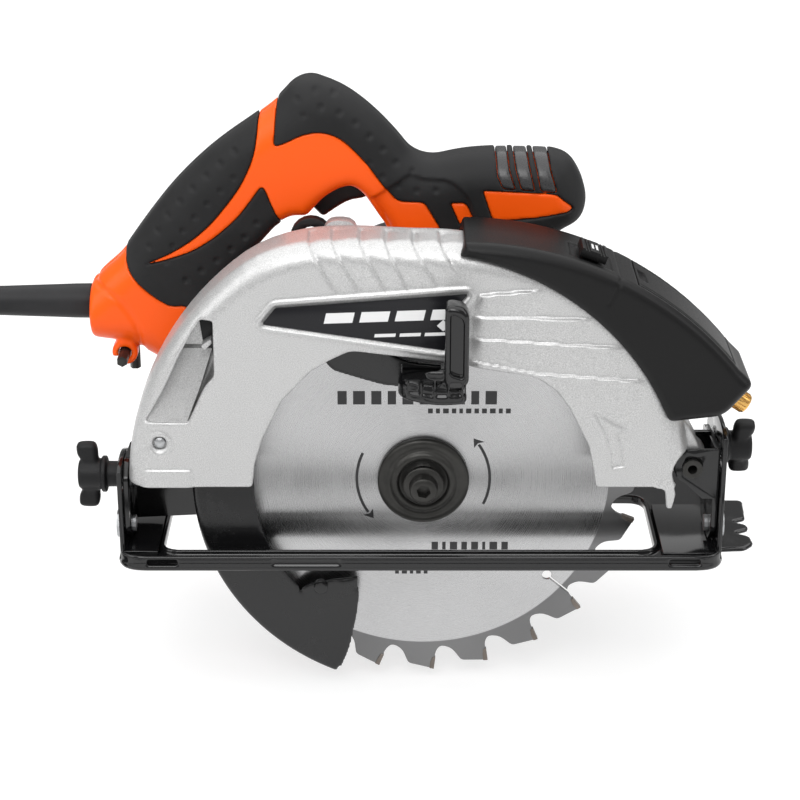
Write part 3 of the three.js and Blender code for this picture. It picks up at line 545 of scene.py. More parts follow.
def plain_plastic(name, color, roughness, grain=0.02, scale=1400.0, specular=0.5, spread=0.25):
    """Moulded plastic: a fine spark-eroded texture and slow changes in colour and gloss."""
    paint = Paint(name, color, roughness, specular=specular)
    slow = paint.noise(18.0, 2.0)
    lighter = tuple(min(1.0, channel * (1 + spread)) for channel in color)
    darker = tuple(channel * (1 - spread) for channel in color)
    paint.feed("Base Color", paint.mix(slow, darker, lighter))
    fine = paint.noise(scale, 4.0)
    paint.feed("Roughness", paint.ramp(fine, 0.3, 0.7, roughness * 0.85, min(1.0, roughness * 1.15)))
    paint.bump(fine, grain, 0.6)
    return paint.material


def silver_paint():
    """Cast aluminium under a hammered silver lacquer with bright and dark flecks."""
    paint = Paint("silver_cast", (0.62, 0.62, 0.61), 0.4, metallic=0.62)
    fleck = paint.noise(2300.0, 2.0, 0.7)
    grain = paint.noise(620.0, 3.0, 0.6)
    tone = paint.mix(paint.ramp(fleck, 0.36, 0.64, 0.0, 1.0), (0.42, 0.42, 0.42), (0.68, 0.68, 0.675))
    slow = paint.ramp(paint.noise(25.0, 2.0), 0.3, 0.7, 0.0, 0.3)
    paint.feed("Base Color", paint.mix(slow, tone, (0.52, 0.52, 0.52)))
    paint.feed("Roughness", paint.ramp(grain, 0.3, 0.7, 0.34, 0.5))
    paint.bump(grain, 0.10, 0.5)
    return paint.material


def enamel(name, color, roughness):
    """Dipped enamel: glossy, with a slight ripple, dust and rubbed patches."""
    paint = Paint(name, color, roughness)
    rubbed = paint.ramp(paint.noise(60.0, 5.0, 0.7), 0.55, 0.75, 0.0, 1.0)
    paint.feed("Roughness", paint.ramp(rubbed, 0.0, 1.0, roughness, roughness + 0.14))
    paint.feed("Base Color", paint.mix(rubbed, color, tuple(c * 1.5 + 0.002 for c in color)))
    paint.bump(paint.noise(140.0, 2.0), 0.05, 0.35)
    return paint.material


def soft_rubber(name, color, roughness=0.62):
    """Overmoulded elastomer: matt, finely pebbled and a little dusty."""
    paint = Paint(name, color, roughness, specular=0.25)
    pebble = paint.cells(1500.0)
    dust = paint.noise(40.0, 4.0)
    paint.feed("Base Color", paint.mix(paint.ramp(dust, 0.35, 0.75, 0.0, 1.0), color,
                                       tuple(c * 1.6 + 0.004 for c in color)))
    paint.feed("Roughness", paint.ramp(dust, 0.3, 0.7, roughness - 0.08, roughness + 0.1))
    paint.bump(pebble, 0.05, 0.5)
    return paint.material


def ground_steel(name, color, roughness, band):
    """Steel brushed in circles about the object's Y axis, rougher and darker in a band of radii."""
    paint = Paint(name, color, roughness, metallic=1.0)
    radius, outward = paint.radius()
    rings = paint.node("ShaderNodeTexNoise", {"W": paint.math("MULTIPLY", radius, 4200.0),
                                              "Detail": 4.0, "Scale": 1.0},
                       noise_dimensions="1D").outputs["Fac"]
    patch = paint.noise(30.0, 3.0)
    tone = paint.mix(paint.ramp(rings, 0.3, 0.7, 0.0, 1.0), tuple(c * 0.93 for c in color), color)
    rough = paint.ramp(rings, 0.3, 0.7, roughness * 0.85, roughness * 1.25)
    rough = paint.math("ADD", rough, paint.ramp(patch, 0.4, 0.7, 0.0, 0.05))
    inner, outer, dark = band
    edge = paint.ramp(radius, inner * MM, (inner + 0.5) * MM, 0.0, 1.0)
    far = paint.ramp(radius, outer * MM, (outer + 0.5) * MM, 1.0, 0.0)
    inside = paint.math("MULTIPLY", edge, far)
    tone = paint.mix(inside, tone, tuple(c * dark for c in color))
    rough = paint.math("ADD", rough, paint.math("MULTIPLY", inside, 0.16))
    paint.feed("Base Color", tone)
    paint.feed("Roughness", rough)
    paint.set("Anisotropic", 0.88)
    tangent = paint.node("ShaderNodeVectorTransform", {0: outward}, vector_type="VECTOR",
                         convert_from="OBJECT", convert_to="WORLD").outputs[0]
    paint.feed("Tangent", tangent)
    paint.bump(rings, 0.0015, 0.4)
    return paint.material


def machined(name, color, roughness, metallic=1.0, grain=900.0):
    """Turned or rolled metal: fine streaks, oil haze and small scratches."""
    paint = Paint(name, color, roughness, metallic=metallic)
    streaks = paint.noise(grain, 4.0, 0.7)
    haze = paint.noise(90.0, 3.0)
    paint.feed("Base Color", paint.mix(paint.ramp(haze, 0.35, 0.7, 0.0, 1.0), color,
                                       tuple(c * 0.72 for c in color)))
    paint.feed("Roughness", paint.ramp(streaks, 0.3, 0.7, roughness * 0.8, roughness * 1.3))
    paint.bump(streaks, 0.012, 0.5)
    return paint.material


def laminated(name, color):
    """A stack of thin sheets seen along its edge, with the layers across Y."""
    paint = Paint(name, color, 0.45, metallic=0.9)
    parts = paint.node("ShaderNodeSeparateXYZ", {0: paint.place}).outputs
    wave = paint.math("SINE", paint.math("MULTIPLY", parts[1], math.tau / (0.5 * MM)))
    paint.feed("Base Color", paint.mix(paint.ramp(wave, -1.0, 1.0, 0.0, 1.0),
                                       tuple(c * 0.5 for c in color), color))
    paint.bump(wave, 0.05, 0.6)
    return paint.material


def floor_paint():
    """A white board, lit from behind so that shadows on it stay faint."""
    paint = Paint("floor_white", (0.9, 0.9, 0.9), 0.55, specular=0.25)
    slow = paint.noise(3.0, 2.0)
    paint.feed("Base Color", paint.mix(slow, (0.38, 0.38, 0.38), (0.41, 0.41, 0.41)))
    paint.set("Emission Color", (1.0, 1.0, 1.0, 1.0))
    paint.set("Emission Strength", FLOOR_GLOW)
    return paint.material


SILVER = silver_paint()
ORANGE = plain_plastic("orange_shell", (1.0, 0.105, 0.003), 0.36, grain=0.015, specular=0.28, spread=0.04)
GRIP = soft_rubber("soft_grip", (0.0105, 0.0105, 0.011))
KNOB = soft_rubber("knob_rubber", (0.007, 0.007, 0.0075), 0.5)
LASER = plain_plastic("laser_black", (0.0065, 0.0064, 0.0066), 0.42, grain=0.03, scale=1800.0, specular=0.22)
GLOSS = plain_plastic("gloss_black", (0.005, 0.005, 0.0055), 0.14, grain=0.006)
INNER = plain_plastic("inner_black", (0.009, 0.009, 0.0095), 0.45, specular=0.35)
ENAMEL = enamel("black_enamel", (0.006, 0.006, 0.0065), 0.13)
GUARD = enamel("guard_black", (0.0055, 0.0055, 0.006), 0.24)
DECAL = plain_plastic("decal_black", (0.010, 0.010, 0.012), 0.24, grain=0.003, specular=0.25)
INK = plain_plastic("decal_ink", (0.75, 0.75, 0.75), 0.4, grain=0.002, spread=0.03)
PRINT = plain_plastic("blade_ink", (0.012, 0.012, 0.013), 0.35, grain=0.002)
BLADE = ground_steel("blade_steel", (0.52, 0.519, 0.523), 0.24, band=(85.0, 104.0, 0.42))
PANEL = plain_plastic("panel_grey", (0.035, 0.035, 0.036), 0.28, grain=0.004)
CARBIDE = machined("carbide_tip", (0.20, 0.175, 0.155), 0.35)
STEEL = machined("machined_steel", (0.58, 0.58, 0.59), 0.28)
ZINC = machined("zinc_plate", (0.55, 0.56, 0.57), 0.36, grain=500.0)
OXIDE = machined("black_oxide", (0.050, 0.049, 0.046), 0.36, metallic=0.75)
BRASS = machined("brass", (0.80, 0.47, 0.14), 0.24)
COPPER = machined("copper", (0.78, 0.36, 0.20), 0.3)
CARBON = machined("carbon", (0.02, 0.02, 0.021), 0.6, metallic=0.2)
CORE = laminated("core_steel", (0.35, 0.35, 0.37))
CORD = soft_rubber("cord_black", (0.014, 0.014, 0.015), 0.5)


# ---------------------------------------------------------------- stage
def sheet(name, low, high, z, material):
    """A level rectangle of the studio."""
    mesh = bpy.data.meshes.new(name)
    mesh.from_pydata([(x, y, z * MM) for x, y, _ in rectangle(low, high, 0.0)], [], [(0, 1, 2, 3)])
    obj = link(name, mesh)
    obj.data.materials.append(material)
    return obj


def add_stage():
    """The floor, and a dark card that nothing but a reflection shows."""
    sheet("floor", (-2.6, -1.4), (2.6, 3.4), FLOOR_Z - 0.2, floor_paint())
    black = plain_plastic("card_black", (0.03, 0.03, 0.03), 0.8)
    card = sheet("dark_card", (-0.9, -0.25), (0.9, -0.2), FLOOR_Z + 0.5, black)
    card.visible_camera = False
    card.visible_diffuse = False
    card.visible_shadow = False


add_stage()


# ---------------------------------------------------------------- cord
CORD_R = 3.75
CORD_EXIT = (-214.0, 45.0, 106.5)
COIL = (-294.5, -20.0)
COIL_MID, COIL_HALF, COIL_HEIGHT, LEAD = 41.0, 11.3, 30.4, 27.6
LAYERS, COLUMNS = 4, 3
PLUG_Z, PIN_GAP = -62.0, 19.0
OUTER_TURN = COIL_MID + COIL_HALF - CORD_R
DROP_X = COIL[0] + OUTER_TURN
TAIL_X = COIL[0] - OUTER_TURN
ROUTE = [
    CORD_EXIT, (-217.3, 45, 106.36), (-220.5, 45, 105.9), (-226.4, 45, 104.1), (-231.9, 45, 101.2),
    (-236.7, 45, 97.2), (-243.5, 45, 87), (DROP_X, 45, 74.8), (DROP_X, 45, 58), (DROP_X, 45, 40),
    (DROP_X, 45, 20), (DROP_X, 45, -8.6), (DROP_X, 42.3, -22.4), (DROP_X, 34.5, -34.1), (DROP_X, 22.8, -41.9),
    (DROP_X, COIL[1] + LEAD, FLOOR_Z + COIL_HEIGHT - CORD_R),
]
TAIL = [(TAIL_X, 7.6, -67.25), (TAIL_X, 15.6, -66.05), (TAIL_X, 22, -62.7), (TAIL_X, 29.4, -62)]


def coil_line():
    """A coil wound inwards on its top layer and out again on the next, down to the floor.
    A move is (first turn, last turn, columns, layers); a column or a layer is one diameter."""
    pitch = 2.0 * CORD_R + 0.05
    steps = 24
    moves = []
    for start in range(0, 5 * LAYERS // 2, 5):
        moves += [(start + 0.5, start + 0.8, -1, 0), (start + 1.5, start + 1.8, -1, 0),
                  (start + 2.3, start + 2.5, 0, 1), (start + 3.0, start + 3.3, 1, 0),
                  (start + 4.0, start + 4.3, 1, 0), (start + 4.8, start + 5.05, 0, 1)]
    turns = 5 * LAYERS / 2 - 0.5
    points = []
    for i in range(int(turns * steps) + 1):
        share = i / steps
        column = COLUMNS - 1 + sum(c * step(share - a, b - a) for a, b, c, _ in moves)
        layer = sum(d * step(share - a, b - a) for a, b, _, d in moves)
        x, y = polar(COIL_MID + (column - 1) * pitch, -360.0 * share, *COIL)
        points.append((x, y, FLOOR_Z + CORD_R + (LAYERS - 1 - layer) * pitch))
    return points


def curve_tube(name, points, radius):
    """A round tube along the points."""
    data = bpy.data.curves.new(name, "CURVE")
    data.dimensions = "3D"
    data.bevel_depth = radius * MM
    data.bevel_resolution = 6
    data.use_fill_caps = True
    data.resolution_u = 1
    line = data.splines.new("POLY")
    line.points.add(len(points) - 1)
    for spot, point in zip(line.points, points):
        spot.co = (*(Vector(point) * MM), 1.0)
    obj = bpy.data.objects.new(name, data)
    bpy.context.collection.objects.link(obj)
    return obj


def add_cord():
    line = spline(ROUTE, 5) + coil_line() + spline(TAIL, 4)
    cable = curve_tube("cord", line, CORD_R)
    fit(cable, "saw_body", "cord_black", CORD, "power_cord", "cord_coil", "cord_tail")
    return cable, line


def add_plug():
    """A round-pin moulded plug, its grip ribbed, on the end of the cord."""
    grid = Grid((TAIL_X - 20, 29, -72), (TAIL_X + 20, 69, -52), 0.55)
    x, y, z = grid.x - TAIL_X, grid.y, grid.z - PLUG_Z
    half = 17.6 - 8.0 * step(44.0 - y, 14.0)
    flat = np.hypot(np.maximum(np.abs(x) - half + 8.6, 0), np.maximum(np.abs(z) - 0.2, 0)) - 8.6
    ribs = 0.7 * hump((y - 42.0) % 4.5 - 2.25, 1.4) * step(y - 41.0, 1.0) * step(56.0 - y, 1.0)
    grip = both(flat + ribs, np.abs(y - 55.0) - 13.0, 2.0)
    rings = 0.6 * hump((y - 31.0) % 3.2 - 1.6, 0.9)
    neck = both(np.hypot(x, z) - 6.0 + rings, np.abs(y - 37.0) - 7.0, 1.0)
    body = skin("plug_body", either(grip, neck, 2.0), grid)
    fit(body, "saw_body", "cord_black", CORD, "plug")
    profile = [(0.0, 67.0), (2.4, 67.0), (2.4, 84.5), (1.4, 86.8), (0.0, 87.0)]
    pins = [lathe("pin", profile, (TAIL_X + side * PIN_GAP / 2, PLUG_Z), sides=24) for side in (-1, 1)]
    pins = smooth(merge("plug_pins", pins))
    fit(pins, "saw_body", "machined_steel", STEEL, "plug")
    return [body, pins]


def add_strain_relief():
    """A tapered boot, smooth for most of its length and ringed with grooves at its thin end."""
    profile = [(0.0, 154.2), (8.1, 154.2), (8.0, 162.0), (7.7, 170.0), (6.9, 196.0)]
    for at, radius in ((198.0, 6.9), (202.6, 6.5), (207.2, 6.1)):
        profile += [(radius, at), (radius - 1.0, at + 0.3), (radius - 1.0, at + 1.7),
                    (radius - 0.2, at + 2.0)]
    profile += [(5.6, 211.8), (5.2, 213.4), (4.8, 214.0), (0.0, 214.0)]
    boot = lathe("strain_relief_boot", [(r, -a) for r, a in profile], (45.0, 105.3), "x", 40)
    boot = soften(boot, 0.35, 2, 40.0)
    fit(boot, "saw_body", "cord_black", CORD, "strain_relief")


cable, cable_line = add_cord()
plug_pieces = add_plug()
add_strain_relief()


# ---------------------------------------------------------------- upper guard
GUARD_NEAR, GUARD_FAR, GUARD_WALL = -20.0, 15.0, 2.6
GUARD_FRONT, GUARD_DIP, GUARD_RISE, GUARD_ROUND = 121.0, 2.3, 15.3, 10.5
GUARD_FOOT, HUB_HOLE, PIVOT_POCKET, LUG_R, LUG_HOLE = 39.3, 24.6, 9.6, 8.0, 4.0
GUARD_SCREW = (-118.3, 60.9)
CUTOUT = [(-77, 20), (-77, 40.2), (-75.8, 50.6), (-72.1, 62.9), (-63.1, 81.4), (-50.2, 95.2), (-41.7, 100.6),
          (-32.4, 105.1, 3), (9.1, 99.9), (20.1, 98), (48.9, 93.5, 3), (58.3, 86.6), (64.6, 78), (73.7, 59.4),
          (76.3, 47.1), (77.4, 39.7), (77.4, 20)]
CHIP_WINDOW = [(-98.3, 119.2, 1), (-92.8, 119.2, 1), (-93.0, 93.0, 2), (-97.4, 88.2, 8), (-105.1, 71.1, 1),
               (-124.2, 71.1, 1), (-115.6, 86.1, 14), (-106.4, 106.1, 14)]
DECAL_FACE = [(-70.9, 118.2, 1), (-65.1, 125.6, 1), (18.8, 132.1, 1), (14.5, 127, 2), (9, 106, 1)]
LOUVRES = [
    [(6.6, 133.4), (22.6, 135.4)], [(20.8, 131.4), (50.8, 133.9)], [(20, 121.9), (72, 120.3)],
    [(20.1, 111.7), (86.7, 107.1)], [(19.3, 101.5), (48.9, 95.3), (96.9, 91.2)],
]
GROOVES = [
    [(-53.3, 158), (-38.5, 131.4)], [(-43.9, 159.5), (-27, 129.4)], [(-32.5, 161), (-15.6, 130.4)],
    [(-21.2, 161), (-6.1, 131)], [(-9.9, 160), (6.3, 134)], [(2.4, 159), (15.6, 138.5)],
]
GROOVE_CUT, LOUVRE_RISE, ARROW_CUT = 1.5, 2.1, 1.1
ARROW = [(76.2, 75.6), (90.2, 68.2), (86.5, 65.4), (88.6, 60.6), (89.8, 50.2), (85.1, 49.4), (83.8, 58.5),
         (81.1, 67), (76.2, 75.6)]


def guard_radius(degrees):
    """The guard's reach from the spindle: a dip at the top between the front and the chip port."""
    return GUARD_FRONT - GUARD_DIP * step(degrees - 56.0, 28.0) + GUARD_RISE * step(degrees - 90.0, 37.0)


def guard_loop():
    rim = [polar(guard_radius(a), a, *SPINDLE) for a in np.linspace(-14.0, 192.0, 70)]
    return rim + [(-40, -20), (40, -20)]


def louvre_height(x, z):
    """Each louvre stands proud just below its line and sinks back towards the next one."""
    total = np.zeros(np.broadcast(x, z).shape)
    for line in LOUVRES:
        xs, zs = zip(*line)
        below = np.interp(x, xs, zs) - z
        ends = step(x - xs[0] + 1.0, 7.0) * step(xs[-1] + 2.0 - x, 9.0)
        total = np.maximum(total, ends * step(below + 0.4, 0.7) * np.exp(-np.maximum(below, 0) / 8.0))
    return LOUVRE_RISE * total


def groove_depth(x, z):
    """Saw-toothed grooves over the shoulder: a sharp wall along each line, then a slow run-out."""
    total = np.zeros(np.broadcast(x, z).shape)
    for (x0, z0), (x1, z1) in GROOVES:
        past = x - np.interp(z, (z1, z0), (x1, x0))
        fade = step(z - z1 + 1.0, 9.0)
        total = np.maximum(total, fade * step(past + 0.3, 0.7) * np.exp(-np.maximum(past, 0) / 4.5))
    return total


def guard_relief(x, z):
    """How far the near face stands out from its plane."""
    frame_line = area(DECAL_FACE, x, z)
    relief = louvre_height(x, z) * step(frame_line - 4.5, 2.0)
    relief = relief + 1.1 * hump(frame_line - 2.4, 1.5) - 0.5 * step(1.2 - frame_line, 1.0)
    relief = relief + 0.9 * step(48.5 - z, 1.2) * step(-103.0 - x, 3.0)
    relief = relief - ARROW_CUT * hump(track(ARROW, x, z), 1.0)
    socket = circle(0.0, x, z, GUARD_SCREW)
    return relief + 0.8 * hump(socket - 5.0, 1.3) - 3.0 * step(3.4 - socket, 0.8)


def guard_shape(grid, grow):
    """The guard as a solid block, rounded on its shoulders and grown outwards."""
    x, z = grid.x, grid.z
    flat = polygon(guard_loop(), x, z) - grow
    return slab(flat, grid.y, GUARD_NEAR - grow, GUARD_FAR + grow, GUARD_ROUND)


def add_guard():
    grid = Grid((-135.5, -22.5, 27), (131.5, 16.5, 163), 0.8)
    x, y, z = grid.x, grid.y, grid.z
    flat = polygon(guard_loop(), x, z)
    near_side = step(-6.0 - y, 8.0)
    body = slab(flat, y, GUARD_NEAR, GUARD_FAR, GUARD_ROUND)
    body = body + GROOVE_CUT * groove_depth(x, z) * step(8.0 - y, 8.0)
    body = body - guard_relief(x, z) * near_side * step(-flat - 5.0, 4.0)
    hollow = slab(flat + GUARD_WALL, y, GUARD_NEAR + GUARD_WALL, GUARD_FAR - GUARD_WALL, 8.5)
    shell = less(body, hollow)
    shell = both(shell, GUARD_FOOT - z, 1.0)
    mouth = area(CUTOUT, x, z)
    shell = less(shell, both(mouth, y + 13.0), 1.6)
    port = area(CHIP_WINDOW, x, z)
    shell = less(shell, both(port, y + 8.0), 1.4)
    pocket = circle(PIVOT_POCKET, x, z, PIVOT)
    shell = less(shell, both(pocket, 9.0 - np.abs(y)), 1.0)
    shell = less(shell, block(grid, (PIVOT[0], -30, 20), (142, 30, PIVOT[1] + PIVOT_POCKET)), 1.0)
    shell = less(shell, block(grid, (110, -9, 20), (142, 9, 60)), 0.6)
    shell = less(shell, both(circle(HUB_HOLE, x, z, SPINDLE), -y))
    lug_face = area([(111, 74), (119.6, 65, 3), (127, 51, 6), (118, 39.5, 3), (111, 44)], x, z)
    lug = both(np.minimum(circle(LUG_R, x, z, PIVOT), lug_face), np.abs(y) - 8.8, 1.0)
    shell = either(shell, less(lug, circle(LUG_HOLE, x, z, PIVOT)), 0.6)
    hook = area([(103, 44), (104, 38.6, 3), (109, 38, 2), (110, 28.5, 1), (112.4, 28.5, 1), (114, 36, 2),
                 (111, 44)], x, z)
    shell = either(shell, slab(hook, y, GUARD_NEAR, GUARD_NEAR + GUARD_WALL, 0.8), 1.0)
    fit(skin("guard_shell", shell, grid), "saw_body", "silver_cast", SILVER, "upper_guard")


def add_chip_channel():
    """The chute behind the window: its sloping floor, its side wall and, above them, a black sheet of painted
    shade for the dark opening into the guard.
    """
    rows = [(-126.0, -105.8, 69.0, -17.6), (-125.5, -105.4, 71.5, -16.6), (-119.5, -99.6, 86.0, -12.4),
            (-111.5, -94.2, 102.5, -8.6), (-111.0, -90.0, 103.6, -6.4), (-100.3, -90.0, 119.0, -6.2)]
    verts = [(x, y + deep, z) for deep in (0.0, 1.4) for left, right, z, y in rows for x in (left, right)]
    back = 2 * len(rows)
    rings = [(k, k + 1, k + 1 + back, k + back) for k in range(0, back, 2)]
    faces = [rings[0], rings[-1]]
    for low, high in zip(rings, rings[1:]):
        faces += [(low[i], low[i - 1], high[i - 1], high[i]) for i in range(4)]
    fit(smooth(solid("chip_ramp", verts, faces), 30.0), "saw_body", "silver_cast", SILVER)
    # A thin black sheet painted in as the shade of the opening above the ramp.
    shade_outline = outline([(-99.4, 115.5), (-90.5, 117), (-90.5, 92, 2), (-93.6, 97, 1), (-94.4, 103, 1),
                    (-97.8, 103, 1)])
    fit(soften(prism("chip_opening_painted_shade", shade_outline, -9.0, -8.0), 0.3), "saw_body", "inner_black", INNER)
    side = [(-105.4, 70.0), (-103.5, 69.0), (-90.5, 91.0), (-90.5, 104.0), (-94.0, 103.4), (-99.3, 86.4)]
    fit(soften(prism("chip_side", side, -5.4, -4.4), 0.3), "saw_body", "silver_cast", SILVER)
    tab = outline([(-98.6, 106.2, 1), (-94.0, 109.4, 1), (-93.4, 107.4, 1), (-97.2, 103.8, 1)])
    fit(soften(prism("chip_tab", tab, -15.5, -9.0), 0.4), "saw_body", "silver_cast", SILVER)


def add_guard_screw():
    head = [(0, -19.6), (0.9, -19.6), (2.6, -18.9), (2.6, -16.5), (0, -16.5)]
    screw = lathe("guard_screw", head, GUARD_SCREW)
    fit(soften(screw, 0.2), "saw_body", "machined_steel", ZINC)


def add_decal():
    """A gloss black film with generic white stripes and a diamond."""
    film = prism("decal_film", outline(DECAL_FACE), GUARD_NEAR - 0.55, GUARD_NEAR + 0.4)
    fit(soften(film, 0.15), "saw_body", "decal_black", DECAL, "guard_decal")
    marks = []
    for k in range(4):
        x, z = -44.0 + 15.5 * k, 118.6 + 0.55 * k
        marks.append([(x, z), (x + 12.5, z + 0.45), (x + 13.6, z + 5.2), (x + 1.1, z + 4.8)])
    for k in range(3):
        x, z = -22.0 + 11.0 * k, 112.2 + 0.3 * k
        marks.append([(x, z), (x + 9.2, z + 0.3), (x + 9.5, z + 1.8), (x + 0.3, z + 1.5)])
    marks.append([(5.4, 117.6), (8.2, 115.0), (10.8, 117.6), (8.2, 120.4)])
    stripes = [prism("stripe", mark, GUARD_NEAR - 0.68, GUARD_NEAR - 0.5) for mark in marks]
    fit(merge("decal_marks", stripes), "saw_body", "decal_black", INK)


add_guard()
add_chip_channel()
add_guard_screw()
add_decal()


# ---------------------------------------------------------------- laser unit
LASER_TOP = (156.2, 16.7, -0.9)
LASER_FOOT = (127.8, -10.2, 23.9)
HATCH_HALF, HATCH_T = 17.0, 3.0
BARREL, BARREL_DIP = (136.1, 78.55), 33.2


def top_arc(drop, start, end, steps=14):
    radius, x, z = LASER_TOP
    return arc(radius - drop, start, end, steps, x, z)


def add_laser():
    grid = Grid((13, -25, 69), (148, 23.5, 157), 0.8)
    x, y, z = grid.x, grid.y, grid.z
    foot = arc(LASER_FOOT[0], 24.9, 78.6, 24, LASER_FOOT[1], LASER_FOOT[2])
    nose = outline([(141, 94), (146, 89.4, 7), (133.3, 74.3, 5), (109, 71.4, 6), (106.5, 76)])[1:-1]
    flat = polygon(top_arc(0.0, 89.7, 38.2, 30) + nose + foot, x, z)
    body = slab(flat, y, -23.2, 21.2, 5.0)
    body = less(body, guard_shape(grid, 0.3), 0.8)
    hatch_zone = polygon(top_arc(-6.0, 60.6, 39.4) + top_arc(HATCH_T + 0.2, 39.4, 60.6), x, z)
    body = less(body, both(hatch_zone, np.abs(y) - HATCH_HALF - 0.2), 0.5)
    bay = polygon(top_arc(HATCH_T - 0.5, 58.0, 46.0) + top_arc(14.0, 46.0, 58.0), x, z)
    body = less(body, both(bay, np.abs(y) - 12.0))
    seat = polygon(top_arc(-3.0, 72.6, 65.2, 4) + top_arc(1.0, 65.2, 72.6, 4), x, z)
    body = less(body, both(seat, np.abs(y + 5.5) - 9.2), 0.5)
    angle = np.degrees(np.arctan2(z - LASER_TOP[2], x - LASER_TOP[1]))
    seam = hump((angle - 63.9) * 2.6, 0.8) * step(circle(LASER_TOP[0], x, z, LASER_TOP[1:]) + 14.0, 2.0)
    body = body + 0.6 * seam
    bx, bz = x - BARREL[0], z - BARREL[1]
    dip = math.radians(BARREL_DIP)
    across = np.hypot(bx * math.sin(dip) + bz * math.cos(dip), y)
    along = bx * math.cos(dip) - bz * math.sin(dip)
    body = less(body, both(across - 5.8, np.abs(along - 1.5) - 18.5), 0.5)
    body = less(body, both(circle(12.0, x, z, PIVOT), y + 9.0), 0.5)
    fit(skin("laser_shell", body, grid), "saw_body", "laser_black", LASER, "laser_housing")


def add_hatch():
    """The curved battery cover, with a finger ledge at its upper end."""
    grid = Grid((90, -18, 95), (139, 18, 137), 0.6)
    x, y, z = grid.x, grid.y, grid.z
    strip = polygon(top_arc(0.0, 60.4, 39.6) + top_arc(HATCH_T, 39.6, 60.4), x, z)
    body = both(strip, np.abs(y) - HATCH_HALF, 1.4)
    ledge = polygon(top_arc(-3.0, 60.0, 58.4, 4) + top_arc(1.2, 58.4, 60.0, 4), x, z)
    body = less(body, both(ledge, np.abs(y) - 6.0), 0.5)
    body = body + 0.35 * hump(np.abs(y) - HATCH_HALF + 2.6, 0.7)
    fit(skin("battery_hatch", body, grid), "laser_battery_cover", "laser_black", LASER, "laser_battery_cover")


def add_laser_switch():
    """A ribbed slide on the flat seat of the housing, with two generic marks."""
    angle = 68.9
    x, z = polar(LASER_TOP[0], angle, LASER_TOP[1], LASER_TOP[2])

    def seated(obj):
        return move(turn(obj, 90.0 - angle), (x, 0.0, z))

    cap = box("laser_slide", (-6, -13, 0.3), (6, 2, 4.3))
    ribs = [box("rib", (k - 0.45, -14, 3.7), (k + 0.45, 3, 6)) for k in (-4.2, -2.8, 2.8, 4.2)]
    cap = soften(add(cut(cap, *ribs), box("stalk", (-4, -8, -5.6), (4, -3, 1))), 0.45)
    fit(seated(cap), "laser_switch", "laser_black", LASER, "laser_switch")
    marks = [box("mark", (k - 0.5, -9.0, 4.2), (k + 0.5, -3.0, 4.4)) for k in (-1.0, 1.0)]
    fit(seated(merge("laser_slide_marks", marks)), "laser_switch", "decal_black", INK)


def add_focus_ring():
    """A knurled brass ring on the laser's barrel."""
    profile = [(2.5, 2.3), (4.5, 2.3), (4.8, 2.8), (4.8, 4.0), (4.3, 4.3), (4.3, 5.0), (4.8, 5.3),
               (4.8, 11.2), (4.3, 12.2), (3.0, 12.5), (2.5, 12.0)]
    ring = lathe("knurled_ring", profile, axis="x", sides=64)
    tools = []
    for k in range(16):
        tool = box("knurl", (5.8, -0.3, 4.45), (11.0, 0.3, 5.2))
        tools.append(turn(tool, 22.5 * k, axis="X"))
    ring = soften(cut(ring, *tools), 0.12)
    ring = move(turn(ring, BARREL_DIP), (BARREL[0], 0.0, BARREL[1]))
    fit(ring, "laser_focus_ring", "brass", BRASS, "laser_focus_ring")


add_laser()
add_hatch()
add_laser_switch()
add_focus_ring()


# ---------------------------------------------------------------- handle
HANDLE_Y, HANDLE_HALF, HANDLE_REAR, OVERMOLD, JOINT_GAP = 45.0, 17.0, -153.9, 2.3, 0.15
HANDLE_LOOP = [
    (-170.0, 96, 1), (-170.0, 108, 1), (-154.2, 114.6, 4), (-148.0, 121.4, 4), (-139.0, 129.0),
    (-126.9, 146.1), (-112.9, 163.8), (-95, 180.8), (-74.7, 194.8), (-66.5, 200.8), (-57.7, 210.4, 4),
    (-50.5, 212.7, 4), (-38.1, 208.1), (-29.6, 202.6), (-20.6, 194.8), (-12.1, 185.5, 4), (-6.6, 178.4, 4),
    (-0.7, 175.4, 3), (5.2, 174.7, 4), (17.9, 177.5, 6), (32.4, 178.6), (56.9, 178.2, 8), (66.0, 175.4, 5),
    (71.8, 165.7, 6), (74, 156.2, 6), (71.5, 147.1, 6), (57.9, 139.4, 8), (36, 118), (24, 80), (-50, 60),
    (-118, 76), (-135.5, 87.2, 6), (-150.0, 89.0, 4), (-170.0, 93.0, 1),
]
FINGER_HOLE = [
    (-102, 108, 8), (-84, 127.6, 12), (-67.2, 146.6, 3), (-60, 150.6, 3), (-53, 150.5, 2), (-45, 159.5, 4),
    (-38, 163.6, 4), (-32.6, 165, 4), (-27.5, 161.5, 3), (-22.4, 154.0, 3), (-15.5, 143, 6), (-12, 119, 6),
    (-20, 118, 2), (-38, 112), (-52, 101, 4), (-84, 98, 8),
]
REAR_GRIP = [
    (-175, 133.5), (-136.7, 133.5, 2), (-135.9, 127.6, 3), (-134, 123.4, 3), (-129.3, 117.6, 4),
    (-122.6, 111.8, 4), (-115.8, 107.9, 3), (-109.8, 108.6, 2), (-104, 104), (-98, 98), (-60, 140),
    (-66.4, 151.6), (-68.8, 157, 3), (-71.1, 163.2, 2), (-72.5, 165.4, 1.5), (-74, 164.7, 2),
    (-77.5, 159.6, 4), (-83.6, 151.4, 5), (-93.7, 142.1, 6), (-104.8, 134.9, 6), (-116.8, 130.9, 5),
    (-126.3, 128.6, 0.8), (-114.7, 133.8, 5), (-104.6, 140.1, 6), (-95.5, 148.3, 6), (-87.3, 158.6, 6),
    (-82.2, 165.7, 6), (-77, 176.8, 5), (-75.1, 183.9, 5), (-73.6, 198.8), (-73, 240), (-175, 240),
]
